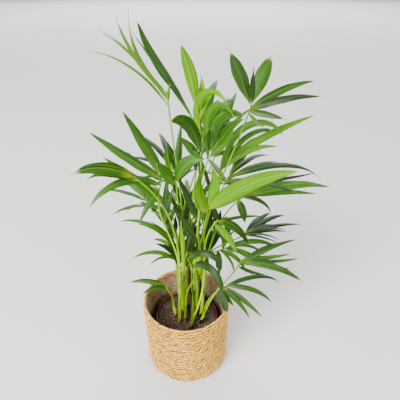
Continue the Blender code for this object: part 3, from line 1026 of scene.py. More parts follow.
@dataclass
class SeagrassBasket:
    """The basket: courses of flat three-strand cord sewn one on another, a bound rim and a plain inner wall."""

    course_pitch: float = 0.0105
    strand_rise: float = 0.0021
    strand_depth: float = 0.0016
    weave_rise: float = 0.0033
    weave_depth: float = 0.0012
    strands: int = 3
    twists: int = 36
    stations_per_twist: int = 8
    sides: int = 5
    spread: float = 0.0024
    rim_thickness: float = 0.0017

    def course_places(self) -> list[tuple[float, float, float]]:
        """Place the courses from the rim down the wall, round the corner and under.

        Returns:
            For each course its radius, its height, and its outward direction as degrees below the level.
        """
        depth = self.strand_depth + self.weave_depth
        wall = BASKET_HEIGHT - 2 * self.rim_thickness - BASKET_CORNER
        corner = BASKET_CORNER * math.pi / 2
        flat = BASKET_FOOT_RADIUS - BASKET_CORNER + self.spread
        count = round((wall + corner + flat) / self.course_pitch)
        places = []
        for k in range(count):
            run = (k + 0.5) * (wall + corner + flat) / count
            if run < wall:
                radius = BASKET_RADIUS + (BASKET_FOOT_RADIUS - BASKET_RADIUS) * run / wall - depth + self.spread
                places.append((radius, BASKET_HEIGHT - 2 * self.rim_thickness - run, 0.0))
            elif run < wall + corner:
                turn = (run - wall) / corner * math.pi / 2
                reach = BASKET_CORNER - depth * 1.15
                places.append((flat + reach * math.cos(turn), BASKET_CORNER - reach * math.sin(turn),
                               math.degrees(turn)))
            else:
                places.append((flat - (run - wall - corner), depth * 1.25, 90.0))
        return places

    def strand(self, cluster: Cluster, place: tuple[float, float, float], phase: float,
               rng: np.random.Generator) -> None:
        """Add one strand of a course's cord, a helix bent into a hoop.

        Args:
            cluster: Where it goes.
            place: The course's radius, height and outward lean.
            phase: Where on its turn the strand starts, in radians.
            rng: The source of its unevenness.
        """
        radius, height, lean = place
        twists = max(2, round(self.twists * radius / BASKET_RADIUS))
        count = twists * self.stations_per_twist
        angle = np.linspace(0, 2 * math.pi, count, endpoint=False)
        lean = math.radians(lean)
        spoke = np.stack([np.cos(angle), np.sin(angle), 0 * angle], axis=1)
        outward = spoke * math.cos(lean) - (0, 0, math.sin(lean))
        upward = spoke * math.sin(lean) + (0, 0, math.cos(lean))
        hoop = spoke * radius + (0, 0, height)
        wave = sum(rng.uniform(0.2, 1) * np.sin(n * angle + rng.uniform(0, 6)) for n in (7, 13, 23, 37, 61)) / 2.4
        turn = twists * angle + phase + 1.7 * wave
        middle = hoop + upward * (self.weave_rise * np.sin(turn) + 0.0015 * wave)[:, None]
        middle = middle + outward * (self.weave_depth * np.cos(turn))[:, None]
        swell = 1 + 0.20 * np.roll(wave, count // 3)
        around = np.linspace(0, 2 * math.pi, self.sides, endpoint=False)
        out = self.strand_depth * np.cos(around)[None, :] * swell[:, None]
        rise = self.strand_rise * np.sin(around)[None, :] * swell[:, None]
        points = middle[:, None] + outward[:, None] * out[..., None] + upward[:, None] * rise[..., None]
        stand = np.einsum("ijk,ik->ij", points - hoop[:, None], outward) / (self.strand_depth + self.weave_depth)
        # Painted shade: places deep in the cord's crevices get a low shade, which the cord material paints in its dark
        # crevice colour
        shade = np.clip(1.6 * stand - 0.35, 0, 1)
        run, girth = np.broadcast_arrays(angle[:, None] * radius, around[None, :] * self.strand_rise)
        map_uv = np.stack([run.ravel(), girth.ravel()], axis=1) + rng.uniform(0, 5, 2)
        faces = [face[::-1] for face in ring_faces(count, self.sides, closed=True)]
        cluster.add(points, faces, map_uv, 0.0, shade)

    def cords(self, places: list[tuple[float, float, float]], name: str) -> bpy.types.Object:
        """Join the cords of several courses.

        Args:
            places: The courses.
            name: The piece's name.

        Returns:
            The piece.
        """
        rng = np.random.default_rng(SEED)
        cluster = Cluster(name)
        for place in places:
            start = rng.uniform(0, 2 * math.pi)
            for k in range(self.strands):
                self.strand(cluster, place, start + 2 * math.pi * k / self.strands, rng)
        return cluster.build()

    def inner_wall(self) -> bpy.types.Object:
        """Make the wall behind the cords: a cylinder whose top is inset and drawn down inside.

        Returns:
            The piece.
        """
        base = 2 * (self.strand_depth + self.weave_depth) + 0.0012
        inner, top = BASKET_RADIUS - BASKET_WALL, BASKET_HEIGHT - 0.0015
        thickness = BASKET_RADIUS + self.spread - 2 * (self.strand_depth + self.weave_depth) - inner
        bpy.ops.mesh.primitive_cylinder_add(vertices=120, radius=inner + thickness, depth=top - base,
                                            location=(0, 0, (top + base) / 2))
        piece = take_primitive("basket_inner_wall")
        bpy.ops.object.mode_set(mode="EDIT")
        pick(piece, "FACE", lambda middle, normal: normal.z > 0.9)
        bpy.ops.mesh.inset(thickness=thickness)
        bpy.ops.mesh.extrude_region_move(TRANSFORM_OT_translate={"value": (0, 0, base + 0.001 - top)})
        slim = (BASKET_FOOT_RADIUS - BASKET_WALL) / inner
        bpy.ops.transform.resize(value=(slim, slim, 1))
        pick(piece, "FACE", lambda middle, normal: normal.z < -0.9 and middle.z < base + 0.0005)
        bpy.ops.transform.resize(value=(slim, slim, 1))
        pick(piece, "EDGE", lambda a, b: abs(a.z - b.z) > 0.1)
        bpy.ops.mesh.subdivide(number_cuts=58)
        bpy.ops.object.mode_set(mode="OBJECT")

        def ribbed(points: Array) -> Array:
            """Let the courses show through on the inner side as shallow uneven ribs.

            Args:
                points: Rows of x, y, z.

            Returns:
                Their new places.
            """
            radius = np.hypot(points[:, 0], points[:, 1])
            inside = (radius < inner + thickness * 0.4) & (radius > inner * 0.8)
            drop = (BASKET_HEIGHT - points[:, 2]) / self.course_pitch + 0.15 * ripple(points, 0.03)
            rib = np.abs(np.sin(math.pi * drop))
            scale = np.where(inside, 1 + (0.0012 - 0.0012 * rib) / inner, 1.0)
            return points * np.stack([scale, scale, np.ones_like(scale)], axis=1)

        move_points(piece, ribbed)
        hold(piece)
        bpy.ops.object.shade_smooth()
        # Painted shade: the inner side takes a fixed share of the dark crevice colour
        self.map_round(piece, 0.7)
        return piece

    def map_round(self, piece: bpy.types.Object, shade: float) -> None:
        """Give a piece a pattern map in metres that runs round the basket, and one shade.

        Args:
            piece: The piece.
            shade: Its shade.
        """
        mesh = piece.data
        points = np.empty(len(mesh.vertices) * 3)
        mesh.vertices.foreach_get("co", points)
        points = points.reshape(-1, 3)
        corners = np.empty(len(mesh.loops), dtype=np.int64)
        mesh.loops.foreach_get("vertex_index", corners)
        map_uv = np.stack([np.arctan2(points[:, 1], points[:, 0]) * BASKET_RADIUS,
                           points[:, 2] + np.hypot(points[:, 0], points[:, 1])], axis=1)
        layer = mesh.uv_layers.active or mesh.uv_layers.new(name="UVMap")
        layer.name = "UVMap"
        layer.data.foreach_set("uv", map_uv[corners].ravel())
        mesh.attributes.new("shade", "FLOAT", "POINT").data.foreach_set("value", np.full(len(points), shade))

    def rim(self) -> bpy.types.Object:
        """Make the bound rim: a slim hoop, pressed and a little uneven, with a pattern map that runs round it.

        Returns:
            The piece.
        """
        middle = BASKET_RADIUS - BASKET_WALL / 2 + self.spread / 2
        bpy.ops.mesh.primitive_torus_add(major_radius=middle, minor_radius=self.rim_thickness, major_segments=300,
                                         minor_segments=14, location=(0, 0, BASKET_HEIGHT - self.rim_thickness))
        piece = take_primitive("basket_rim")

        def uneven(points: Array) -> Array:
            """Press the hoop, and let its height and thickness wander.

            Args:
                points: Rows of x, y, z.

            Returns:
                Their new places.
            """
            radius = np.hypot(points[:, 0], points[:, 1])
            wander, fine = ripple(points * (1, 1, 0), 0.017, 3.0), ripple(points * (1, 1, 0.3), 0.006, 7.0)
            lumps = np.abs(np.sin(52 * np.arctan2(points[:, 1], points[:, 0]) + 2.5 * wander))
            away = 1 + (0.0012 * wander + 0.0014 * fine + 0.0012 * lumps) / radius
            lift = 0.0013 * ripple(points * (1, 1, 0), 0.020, 5.0) + 0.0009 * lumps
            return points * np.stack([away, away, np.ones_like(away)], axis=1) + lift[:, None] * (0, 0, 1)

        move_points(piece, uneven)
        hold(piece)
        bpy.ops.object.shade_smooth()
        self.map_round(piece, 0.95)
        return piece

    def build(self) -> None:
        """Make the basket's pieces and dress them."""
        cord = SeagrassFibre("dried_seagrass_cord", 0.75, 0.15, 0.0010, "986a28", "dea444", "ffc658", "ffdc6c").build()
        bound = SeagrassFibre("pressed_seagrass_binding", 0.7, 0.15, 0.0010, "8a5c1e", "cc8e34", "f8b84c", "ffd264")
        # The inner side's tones are darker than the outer cord's, as painted shade inside the basket
        inner = SeagrassFibre("seagrass_inner_side", 0.8, 0.15, 0.0012, "6c502e", "80603a", "a8865a", "d0b084")
        places = self.course_places()
        wall = [place for place in places if place[2] < 90]
        base = [place for place in places if place[2] >= 90]
        dress(self.cords(wall, "basket_wall_cords"), "seagrass", ["basket"], cord)
        dress(self.cords(base, "basket_base_cords"), "seagrass", [], cord)
        dress(self.inner_wall(), "seagrass", [], inner.build())
        dress(self.rim(), "seagrass", [], bound.build())


@dataclass
class FilmLiner:
    """The clear film in the basket: a thin open sleeve, crumpled against the wall, with a ragged top."""

    segments: int = 200
    bands: int = 40
    thickness: float = 0.0002

    def build(self) -> None:
        """Make the film and dress it."""
        base, top = BASKET_WALL + GAP, BASKET_HEIGHT - LINER_DROP
        reach = BASKET_RADIUS - BASKET_WALL - 0.0012
        bpy.ops.mesh.primitive_cylinder_add(vertices=self.segments, radius=reach, depth=top - base,
                                            location=(0, 0, (top + base) / 2))
        piece = take_primitive("liner_film")
        bpy.ops.object.mode_set(mode="EDIT")
        pick(piece, "FACE", lambda middle, normal: normal.z > 0.9)
        bpy.ops.mesh.delete(type="FACE")
        pick(piece, "EDGE", lambda a, b: abs(a.z - b.z) > 0.1)
        bpy.ops.mesh.subdivide(number_cuts=self.bands)
        bpy.ops.object.mode_set(mode="OBJECT")

        def crumpled(points: Array) -> Array:
            """Draw the film in off the wall in creases, slim it to the foot, and leave its top ragged.

            Args:
                points: Rows of x, y, z.

            Returns:
                Their new places.
            """
            height = (points[:, 2] - base) / (top - base)
            crease = np.abs(ripple(points * (1, 1, 0.35), 0.020, 11.0)) + 0.5 * np.abs(ripple(points, 0.009, 5.0))
            slim = ((BASKET_FOOT_RADIUS - BASKET_WALL - 0.0012) / reach - 1) * (1 - height) + 1
            away = slim - 0.075 * crease * np.clip(height * 2, 0, 1)
            ragged = 0.006 * ripple(points * (1, 1, 0), 0.030, 2.0) * np.clip(height * 4 - 3, 0, 1)
            return points * np.stack([away, away, np.ones_like(away)], axis=1) + ragged[:, None] * (0, 0, 1)

        move_points(piece, crumpled)
        apply_modifier(piece, "SOLIDIFY", thickness=self.thickness, offset=-1)
        hold(piece)
        bpy.ops.object.shade_smooth()
        dress(piece, "clear_film", ["liner"], ClearFilm("clear_polythene_film", 0.14, 0.6, 0.004).build())


@dataclass
class NurseryPot:
    """The grower's pot: a thin tapered wall with a rolled lip."""

    segments: int = 96
    lip_round: float = 0.0009

    def build(self) -> None:
        """Make the pot and dress it."""
        top = POT_BASE + POT_HEIGHT
        wall_top = POT_RIM_RADIUS - POT_LIP
        bpy.ops.mesh.primitive_cone_add(vertices=self.segments, radius1=POT_FOOT_RADIUS, radius2=wall_top,
                                        depth=POT_HEIGHT, location=(0, 0, POT_BASE + POT_HEIGHT / 2))
        piece = take_primitive("nursery_pot_shell")
        bpy.ops.object.mode_set(mode="EDIT")
        for height in (top - POT_LIP_HEIGHT, top - POT_LIP_HEIGHT - 0.010, POT_BASE + 0.012):
            bpy.ops.mesh.select_all(action="SELECT")
            bpy.ops.mesh.bisect(plane_co=(0, 0, height), plane_no=(0, 0, 1))
        pick(piece, "FACE", lambda middle, normal: middle.z > top - POT_LIP_HEIGHT and normal.z < 0.5)
        bpy.ops.mesh.extrude_region_shrink_fatten(TRANSFORM_OT_shrink_fatten={"value": POT_LIP})
        pick(piece, "FACE", lambda middle, normal: normal.z > 0.9 and middle.xy.length < 0.02)
        bpy.ops.mesh.inset(thickness=POT_WALL)
        bpy.ops.mesh.extrude_region_move(TRANSFORM_OT_translate={"value": (0, 0, POT_WALL - POT_HEIGHT)})
        slim = (POT_FOOT_RADIUS - POT_WALL) / (wall_top - POT_WALL)
        bpy.ops.transform.resize(value=(slim, slim, 1))
        bpy.ops.object.mode_set(mode="OBJECT")
        apply_modifier(piece, "BEVEL", width=self.lip_round, segments=3, limit_method="ANGLE",
                       angle_limit=math.radians(35))
        hold(piece)
        bpy.ops.object.shade_smooth_by_angle(angle=math.radians(40))
        # Injection-moulded and satin, brick brown, with dust from the soil in soft patches
        pot = Speckled("moulded_polypropylene", 0.45, 0.35, 0.0002, "2a0d07", "3f160e", "6a4234", 0.016).build()
        dress(piece, "terracotta_plastic", ["nursery_pot"], pot)


@dataclass
class PottingSoil:
    """The soil: a crumbly surface of peat, with bark crumbs and perlite strewn on it."""

    segments: int = 110
    rings: int = 42
    relief: float = 0.0022
    crumb_count: int = 900
    perlite_count: int = 95

    def bed(self) -> bpy.types.Object:
        """Make the bed: a tapered drum whose top is inset ring by ring and roughened.

        Returns:
            The piece.
        """
        inset = POT_WALL + GAP * 2
        floor = POT_BASE + POT_WALL + GAP
        share = (POT_HEIGHT - SOIL_DROP) / POT_HEIGHT
        rim = POT_FOOT_RADIUS + (POT_RIM_RADIUS - POT_LIP - POT_FOOT_RADIUS) * share - inset
        bpy.ops.mesh.primitive_cone_add(vertices=self.segments, radius1=POT_FOOT_RADIUS - inset, radius2=rim,
                                        depth=SOIL_TOP - floor, location=(0, 0, (SOIL_TOP + floor) / 2))
        piece = take_primitive("soil_bed")
        bpy.ops.object.mode_set(mode="EDIT")
        pick(piece, "FACE", lambda middle, normal: normal.z > 0.9)
        for _ in range(self.rings):
            bpy.ops.mesh.inset(thickness=rim / (self.rings + 1.5))
        bpy.ops.object.mode_set(mode="OBJECT")

        def crumbly(points: Array) -> Array:
            """Roughen the top, raise it a little at the wall, and heap it round the stems.

            Args:
                points: Rows of x, y, z.

            Returns:
                Their new places.
            """
            surface = points[:, 2] > SOIL_TOP - 0.001
            lumps = ripple(points, 0.017, 1.0) + 0.7 * ripple(points, 0.006, 4.0) + 0.5 * ripple(points, 0.0028, 9.0)
            radius = np.hypot(points[:, 0], points[:, 1])
            heap = sum(np.exp(-((points[:, 0] - stem.foot[0]) ** 2 + (points[:, 1] - stem.foot[1]) ** 2) / 0.00018)
                       for stem in STEMS.values())
            lift = self.relief * lumps + 0.0022 * np.minimum(heap, 1.2) + 0.0035 * np.clip(radius / rim, 0, 1) ** 8
            return points + np.where(surface, lift, 0)[:, None] * (0, 0, 1)

        move_points(piece, crumbly)
        hold(piece)
        bpy.ops.object.shade_smooth()
        return piece

    def crumbs(self, name: str, count: int, sizes: tuple[float, float], seed: int) -> bpy.types.Object:
        """Strew crumbs on the bed, each a small uneven ball of a few faces.

        Args:
            name: The piece's name.
            count: How many crumbs.
            sizes: The least and greatest radius.
            seed: Seeds their places.

        Returns:
            The joined crumbs.
        """
        deselect_all()
        bpy.ops.mesh.primitive_ico_sphere_add(subdivisions=1, radius=1.0)
        ball = bpy.context.object
        unit_ball = np.array([vertex.co for vertex in ball.data.vertices])
        faces = [tuple(face.vertices) for face in ball.data.polygons]
        bpy.data.objects.remove(ball)
        rng = np.random.default_rng(SEED + seed)
        cluster = Cluster(name)
        reach = POT_RIM_RADIUS - POT_LIP - POT_WALL - 0.004
        for _ in range(count):
            radius, turn = reach * math.sqrt(rng.uniform()), rng.uniform(0, 2 * math.pi)
            size = rng.uniform(*sizes) * np.array([rng.uniform(0.7, 1.5), rng.uniform(0.7, 1.2), 0.7])
            points = unit_ball * size * rng.uniform(0.75, 1.2, (len(unit_ball), 1))
            spin = rng.uniform(0, math.pi)
            points[:, :2] = points[:, :2] @ np.array([[math.cos(spin), -math.sin(spin)],
                                                      [math.sin(spin), math.cos(spin)]])
            place = np.array([radius * math.cos(turn), radius * math.sin(turn), 0.0])
            place[2] = SOIL_TOP + self.relief * ripple([place + (0, 0, SOIL_TOP)], 0.017, 1.0)[0]
            cluster.add(points + place, faces, points[:, :2], 0.0, 0.5)
        return cluster.build()

    def build(self) -> None:
        """Make the bed and what is strewn on it, and dress them."""
        peat = Speckled("moist_peat", 0.92, 0.2, 0.0012, "1c150f", "41332a", "927c64", 0.0030).build()
        bark = Speckled("bark_crumbs", 0.9, 0.2, 0.0006, "1c140d", "40301f", "8a7054", 0.0018).build()
        perlite = Speckled("expanded_perlite", 0.9, 0.2, 0.0004, "9c948a", "cfc8bd", "ece7de", 0.0015).build()
        dress(self.bed(), "potting_soil", ["soil"], peat)
        dress(self.crumbs("soil_crumbs", self.crumb_count, (0.0009, 0.0026), 1), "potting_soil", [], bark)
        dress(self.crumbs("soil_perlite", self.perlite_count, (0.0006, 0.0013), 2), "potting_soil", [], perlite)


@dataclass
class SheathedStem:
    """A young stem: leaf sheaths wrapped one over another, each opening towards the frond it carries."""

    name: str
    sides: int = 24
    rings: int = 24
    wrap: float = 0.0004
    tip_taper: float = 0.45

    def shell(self, cluster: Cluster, span: tuple[float, float], side: Array, inset: float, shade: float,
              opening: float) -> None:
        """Add one sheath: a thin tube round the stem that opens to a gutter on one side.

        Args:
            cluster: Where it goes.
            span: The shares of the stem's height between which it runs.
            side: The direction of the gutter.
            inset: How far its outside lies under the stem's outline.
            shade: How light it is.
            opening: The share of its own run where it starts to open.
        """
        stem = STEMS[self.name]
        foot, _, tip = stem.line()
        axis = direction(stem.lean, stem.azimuth)
        share, t = np.linspace(*span, self.rings), np.linspace(0, 1, self.rings)
        half = math.radians(178) - math.radians(160) * np.clip((t - opening) / (1 - opening), 0, 1) ** 1.6
        around = np.linspace(-1, 1, self.sides // 2)
        angle = half[:, None] * around
        outer = (stem.outline(share) - inset)[:, None] * (1 + 0.018 * np.cos(9 * angle + 7000 * inset))
        inner = outer - self.wrap * (1 - 0.65 * np.abs(around) ** 6)
        side = side - axis * (side @ axis)
        side = side / np.linalg.norm(side)
        way = side * np.cos(angle)[..., None] + np.cross(axis, side) * np.sin(angle)[..., None]
        ring = np.concatenate([way * outer[..., None], (way * inner[..., None])[:, ::-1]], axis=1)
        ring = ring + (foot + (tip - foot) * share[:, None])[:, None]
        girth = np.concatenate([angle, angle[:, ::-1]], axis=1) * STEM_RADIUS + 1000 * inset
        height = np.broadcast_to((share * stem.height)[:, None], girth.shape)
        cluster.add(ring, ring_faces(self.rings, ring.shape[1]), np.stack([height.ravel(), girth.ravel()], axis=1),
                    np.repeat(share, ring.shape[1]), shade)

    def build(self, skin: bpy.types.Material, withered: Cluster) -> None:
        """Make the stem and dress it, with small withered scales round its foot.

        Args:
            skin: The sheath material.
            withered: Where the scales go.
        """
        stem = STEMS[self.name]
        rng = np.random.default_rng(SEED + list(STEMS).index(self.name))
        # Painted shade: stems that stand further back in the clump are painted darker
        shaded = 0.4 * (stem.foot[1] + 0.044) / 0.096
        foot, _, tip = stem.line()
        borne = [name for name in FRONDS if FRONDS[name].stem == self.name]
        cluster = Cluster(self.name + "_sheaths")
        share = np.linspace(0, 1, self.rings) ** 0.8
        narrowing = 1 - self.tip_taper * np.clip((share * stem.height - stem.height + 0.02) / 0.02, 0, 1) ** 2
        add_limb(cluster, foot + (tip - foot) * share[:, None], np.array([1.0, 0.0, 0.0]),
                 (stem.outline(share) - self.wrap * len(borne)) * narrowing, self.sides, 0.45 - shaded,
                 lambda angle: 1 + 0.03 * np.cos(7 * angle + stem.azimuth))
        starts = np.linspace(0.0, 0.55, len(borne))
        for layer, (name, start) in enumerate(zip(borne, starts)):
            self.shell(cluster, (float(start), 1.0), seat(name)[2], self.wrap * layer, rng.uniform(0.1, 1.1) - shaded,
                       0.55 + 0.3 * layer / len(borne))
        dress(cluster.build(), "green_sheath", [self.name], skin)
        for top in (rng.uniform(0.06, 0.12), rng.uniform(0.12, 0.30)):
            side = direction(90, rng.uniform(0, 360))
            self.shell(withered, (0.0, top * 0.15 / stem.height), side, -self.wrap, rng.uniform(0.0, 0.6), 0.1)


@dataclass
class FrondStalks:
    """The stalks and ribs of all the fronds: slim, channelled above and round below."""

    sides: int = 10
    steps: int = 30
    rib_steps: int = 8
    foot_width: float = 1.1
    sunk: float = 0.020

    def build(self) -> None:
        """Make the stalks and dress them."""
        rng = np.random.default_rng(SEED + 50)
        cluster = Cluster("frond_stalks")
        for name, frond in FRONDS.items():
            line = stalk_line(name, self.steps, self.rib_steps)
            line = np.vstack([line[0] + (line[0] - line[1]) / SEAT_LENGTH * self.sunk, line])
            run = np.concatenate([[0], np.cumsum(np.linalg.norm(np.diff(line, axis=0), axis=1))])
            radius = np.interp(run, [0, run[-1] - frond.rib, run[-1]], [STALK_RADIUS, RIB_RADIUS, RIB_TIP_RADIUS])
            radius = radius * (1 + (self.foot_width - 1) * np.exp(-run / 0.02))
            radius[-1] *= 0.35
            add_limb(cluster, line, direction(frond.face[1], frond.face[0]), radius, self.sides,
                     rng.uniform(0.35, 0.85),
                     lambda angle: 1 - 0.30 * np.exp(-((np.minimum(angle, 2 * math.pi - angle) / 0.55) ** 2)))
        skin = StalkSkin("palm_stalk_skin", 0.5, 0.08, 0.0004, "9cc002", "86b002", "629a04").build()
        dress(cluster.build(), "green_sheath", [], skin)


@dataclass
class Leaflets:
    """The leaflets of all the fronds of one tone: thin folded blades with a raised midrib and two side ribs."""

    tone: Tone
    threads: Cluster
    stations: int = 26
    thickness: float = 0.0004
    keel: float = 0.16
    root_fold: float = 0.9
    rib_height: float = 0.045
    thread_width: float = 0.0016
    inner_count: int = 56
    across: tuple[float, ...] = (-1.0, -0.82, -0.62, -0.47, -0.30, -0.12, 0.0, 0.12, 0.30, 0.47, 0.62, 0.82, 1.0)

    def frames(self, root: Array, face: tuple[float, float], leaflet: tuple[float, ...], share: Array,
               rng: np.random.Generator) -> tuple[Array, Array, Array]:
        """Centre, width direction and upward direction of a leaflet at shares of its length.

        Args:
            root: Where it leaves the rib.
            face: The azimuth and lean that the frond's upper side faces.
            leaflet: Its azimuth, lean, length, width and droop.
            share: The shares of its length.
            rng: The source of its small bends.

        Returns:
            Three arrays with a row for each share.
        """
        azimuth, lean, length, _, droop = leaflet
        sway = rng.uniform(-2.5, 2.5) * share**2 * np.sin(2.4 * share)
        ways = direction(lean + droop * share**DROOP_POWER, azimuth + sway)
        middle = 0.5 * (ways[1:] + ways[:-1]) * np.diff(share)[:, None] * length / 1000
        centres = root + np.vstack([np.zeros(3), middle]).cumsum(axis=0)
        level = direction(90, azimuth + 90)
        uppers = np.cross(ways, level)
        uppers /= np.linalg.norm(uppers, axis=1)[:, None]
        facing = direction(face[1], face[0])
        turn = np.arctan2(-facing @ level, facing @ uppers[0]) * (1 - LEVELLING * share)
        turn = turn + math.radians(rng.uniform(-10, 10)) * share
        widths = level * np.cos(turn)[:, None] + uppers * np.sin(turn)[:, None]
        widths -= ways * np.einsum("ij,ij->i", widths, ways)[:, None]
        widths /= np.linalg.norm(widths, axis=1)[:, None]
        return centres, widths, np.cross(ways, widths)

    def beside(self, leaflet: tuple[float, ...], rng: np.random.Generator) -> tuple[float, ...]:
        """A thinner, shorter leaflet that sets out beside another.

        Args:
            leaflet: The other.
            rng: The source of its ways.

        Returns:
            Its azimuth, lean, length, width and droop.
        """
        azimuth, lean, length, width, droop = leaflet
        aside = rng.choice((-1, 1)) * rng.uniform(7, 22)
        return (azimuth + aside, lean + rng.uniform(-8, 10), length * rng.uniform(0.6, 0.9),
                width * rng.uniform(0.45, 0.65), droop + rng.uniform(0, 20))

    def blade(self, cluster: Cluster, root: Array, frond: Frond, number: int, leaflet: tuple[float, ...],
              rng: np.random.Generator) -> None:
        """Add one leaflet's blade, and a withered thread at its tip where the frond has them.

        Args:
            cluster: Where it goes.
            root: Where it leaves the rib.
            frond: Its frond.
            number: The number whose looks it has, from the lowest up.
            leaflet: Its azimuth, lean, length, width and droop.
            rng: The source of its small bends.
        """
        dry = frond.dry[number] if frond.dry else rng.uniform(0.01, 0.05)
        length, width = leaflet[2] / 1000, leaflet[3] / 1000
        share = np.linspace(0, 1, self.stations) ** 1.08
        centres, widths, uppers = self.frames(root, frond.face, leaflet, share, rng)
        share = share[:-1]
        wither = np.clip((share - 1 + dry) / (0.5 * dry + 0.02), 0, 1)
        halves = half_width(share, width, frond.widest[number % len(frond.widest)])
        if dry > 0.09:
            halves = np.maximum(halves * (1 - 0.55 * wither), self.thread_width / 2)
        u = np.array(self.across)
        fold = self.keel + self.root_fold * np.exp(-share / 0.07)
        ribs = np.exp(-((u / 0.08) ** 2)) + 0.55 * np.exp(-(((np.abs(u) - 0.47) / 0.08) ** 2))
        wave = 0.05 * np.sin(share * rng.uniform(14, 22) + rng.uniform(0, 6))
        lift = halves[:, None] * (-fold[:, None] * np.abs(u) + self.rib_height * ribs + wave[:, None] * np.abs(u) ** 3)
        side = halves[:, None] * u / np.sqrt(1 + (fold[:, None] * np.sign(np.abs(u))) ** 2)
        upper = centres[:-1, None] + widths[:-1, None] * side[..., None] + uppers[:-1, None] * lift[..., None]
        lower = upper[:, -2:0:-1] - uppers[:-1, None] * self.thickness
        ring = np.concatenate([upper, lower], axis=1)
        rings, sides = ring.shape[:2]
        points = np.vstack([ring.reshape(-1, 3), centres[-1]])
        tip, last, top = rings * sides, (rings - 1) * sides, len(u) - 1
        faces = ring_faces(rings, sides)[:-1] + [(last + k, last + (k + 1) % sides, tip) for k in range(sides)]
        slots = [0 if k % sides < top else 1 for k in range(last)] + [1] + [0 if k < top else 1 for k in range(sides)]
        flat = np.concatenate([u, u[-2:0:-1]])
        run, over = np.broadcast_arrays((share * length)[:, None], flat * halves[:, None])
        map_uv = np.vstack([np.stack([run.ravel(), over.ravel()], axis=1), [length, 0.0]]) + rng.uniform(0, 9, 2)
        midrib = 0.07 * np.exp(-((flat / 0.05) ** 2))
        pale = np.append(np.maximum(midrib, 0.95 * wither[:, None]).ravel(), 0.95 * (dry > 0))
        shade = frond.light[number % len(frond.light)] + rng.uniform(-0.2, 0.2)
        cluster.add(points, [face[::-1] for face in faces], map_uv, np.append(np.repeat(share, sides), 1.0),
                    shade, pale, slots)
        if frond.threaded:
            self.thread(centres[-2], centres[-1] - centres[-2], rng)

    def inner_leaves(self, cluster: Cluster) -> None:
        """Fill the clump behind the stalks with the small shaded leaflets that stand among them.

        Args:
            cluster: Where they go.
        """
        rng = np.random.default_rng(SEED + 90)
        inner = FRONDS["frond_dark_inner"]
        lines = [stalk_line(name, 20, 1) for name, frond in FRONDS.items() if STEMS[frond.stem].height > 0.10]
        for _ in range(self.inner_count):
            line = lines[rng.integers(len(lines))]
            root = line[rng.integers(2, 14)]
            leaflet = (rng.uniform(0, 360), rng.uniform(4, 26), rng.uniform(70, 130), rng.uniform(11, 18),
                       rng.uniform(0, 50))
            self.blade(cluster, root, inner, 0, leaflet, rng)

    def thread(self, start: Array, way: Array, rng: np.random.Generator) -> None:
        """Add a withered thread that curls on from a leaflet's tip.

        Args:
            start: Where it starts.
            way: The way the leaflet ends.
            rng: The source of its curl.
        """
        reach = rng.uniform(0.010, 0.022)
        way = way / np.linalg.norm(way)
        side = np.cross(way, rng.normal(size=3))
        side = side / np.linalg.norm(side)
        share = np.linspace(0, 1, 14)
        turn = rng.uniform(0.6, 2.2) * share**1.5
        ways = way * np.cos(turn)[:, None] + side * np.sin(turn)[:, None]
        line = start + np.vstack([np.zeros(3), (ways[1:] + ways[:-1]) / 2 * reach / 13]).cumsum(axis=0)
        add_limb(self.threads, line, np.cross(way, side), 0.0008 * (1 - 0.75 * share), 6, rng.uniform(0.4, 0.8))

    def build(self, upper: bpy.types.Material, under: bpy.types.Material) -> None:
        """Make the leaflets of this tone and dress them.

        Args:
            upper: The material of their upper sides.
            under: The material of their undersides.
        """
        cluster = Cluster("leaflets_" + self.tone.name.lower())
        nodes = [name for name in FRONDS if FRONDS[name].tone is self.tone]
        for name in nodes:
            frond, order = FRONDS[name], list(FRONDS).index(name)
            roots = leaflet_roots(name)
            for k, root in enumerate(roots):
                self.blade(cluster, root, frond, k, frond.leaflets[k], np.random.default_rng([SEED, order, k]))
            for k in range(frond.extra):
                rng = np.random.default_rng([SEED, order, 50 + k])
                near = k % len(roots)
                root = roots[near] + direction(frond.lean, frond.azimuth) * frond.rib * rng.uniform(-0.08, 0.08)
                self.blade(cluster, root, frond, near, self.beside(frond.leaflets[near], rng), rng)
        if self.tone is Tone.DARK:
            self.inner_leaves(cluster)
        dress(cluster.build(), self.tone.value, nodes, upper, under)


@dataclass
class PalmPlant:
    """The plant: its stems, stalks and leaflets."""

    def build(self) -> None:
        """Make the plant's pieces and dress them."""
        withered, threads = Cluster("withered_scales"), Cluster("leaflet_threads")
        sheath = StalkSkin("palm_sheath_skin", 0.5, 0.08, 0.0005, "d2c212", "a8d002", "76b402").build()
        for name in STEMS:
            SheathedStem(name).build(sheath, withered)
        FrondStalks().build()
        # Each underside is paler than its upper side, as real palm leaves are, and lighter still as painted light that
        # stands in for light shining through the leaf
        skins = {
            Tone.YOUNG: (LeafSkin("young_palm_leaf", 0.5, 0.06, 0.0004, "305602", "4e7e02", "7aa000", "869606"),
                         LeafSkin("young_palm_leaf_underside", 0.6, 0.06, 0.0004, "446c08", "62880e", "849e1c",
                                  "869606")),
            Tone.GREEN: (LeafSkin("grown_palm_leaf", 0.40, 0.2, 0.0004, "1b3506", "315c04", "508208", "688814"),
                         LeafSkin("grown_palm_leaf_underside", 0.5, 0.2, 0.0004, "3c6018", "587c2c", "86a456",
                                  "6a8c18")),
            Tone.DARK: (LeafSkin("old_palm_leaf", 0.38, 0.16, 0.0004, "183206", "284f08", "447408", "587816"),
                        LeafSkin("old_palm_leaf_underside", 0.5, 0.15, 0.0004, "2c4e14", "486e26", "74964c",
                                 "54741a")),
        }
        for tone, (upper, under) in skins.items():
            Leaflets(tone, threads).build(upper.build(), under.build())
        dry = StalkSkin("withered_leaf_tip", 0.6, 0.25, 0.0004, "9c9064", "a89e74", "8c8060").build()
        scale = StalkSkin("withered_palm_sheath", 0.7, 0.2, 0.0005, "5c4630", "7c664a", "a08a64").build()
        dress(threads.build(), "young_leaf", [], dry)
        dress(withered.build(), "green_sheath", [], scale)


# Camera, light and floor


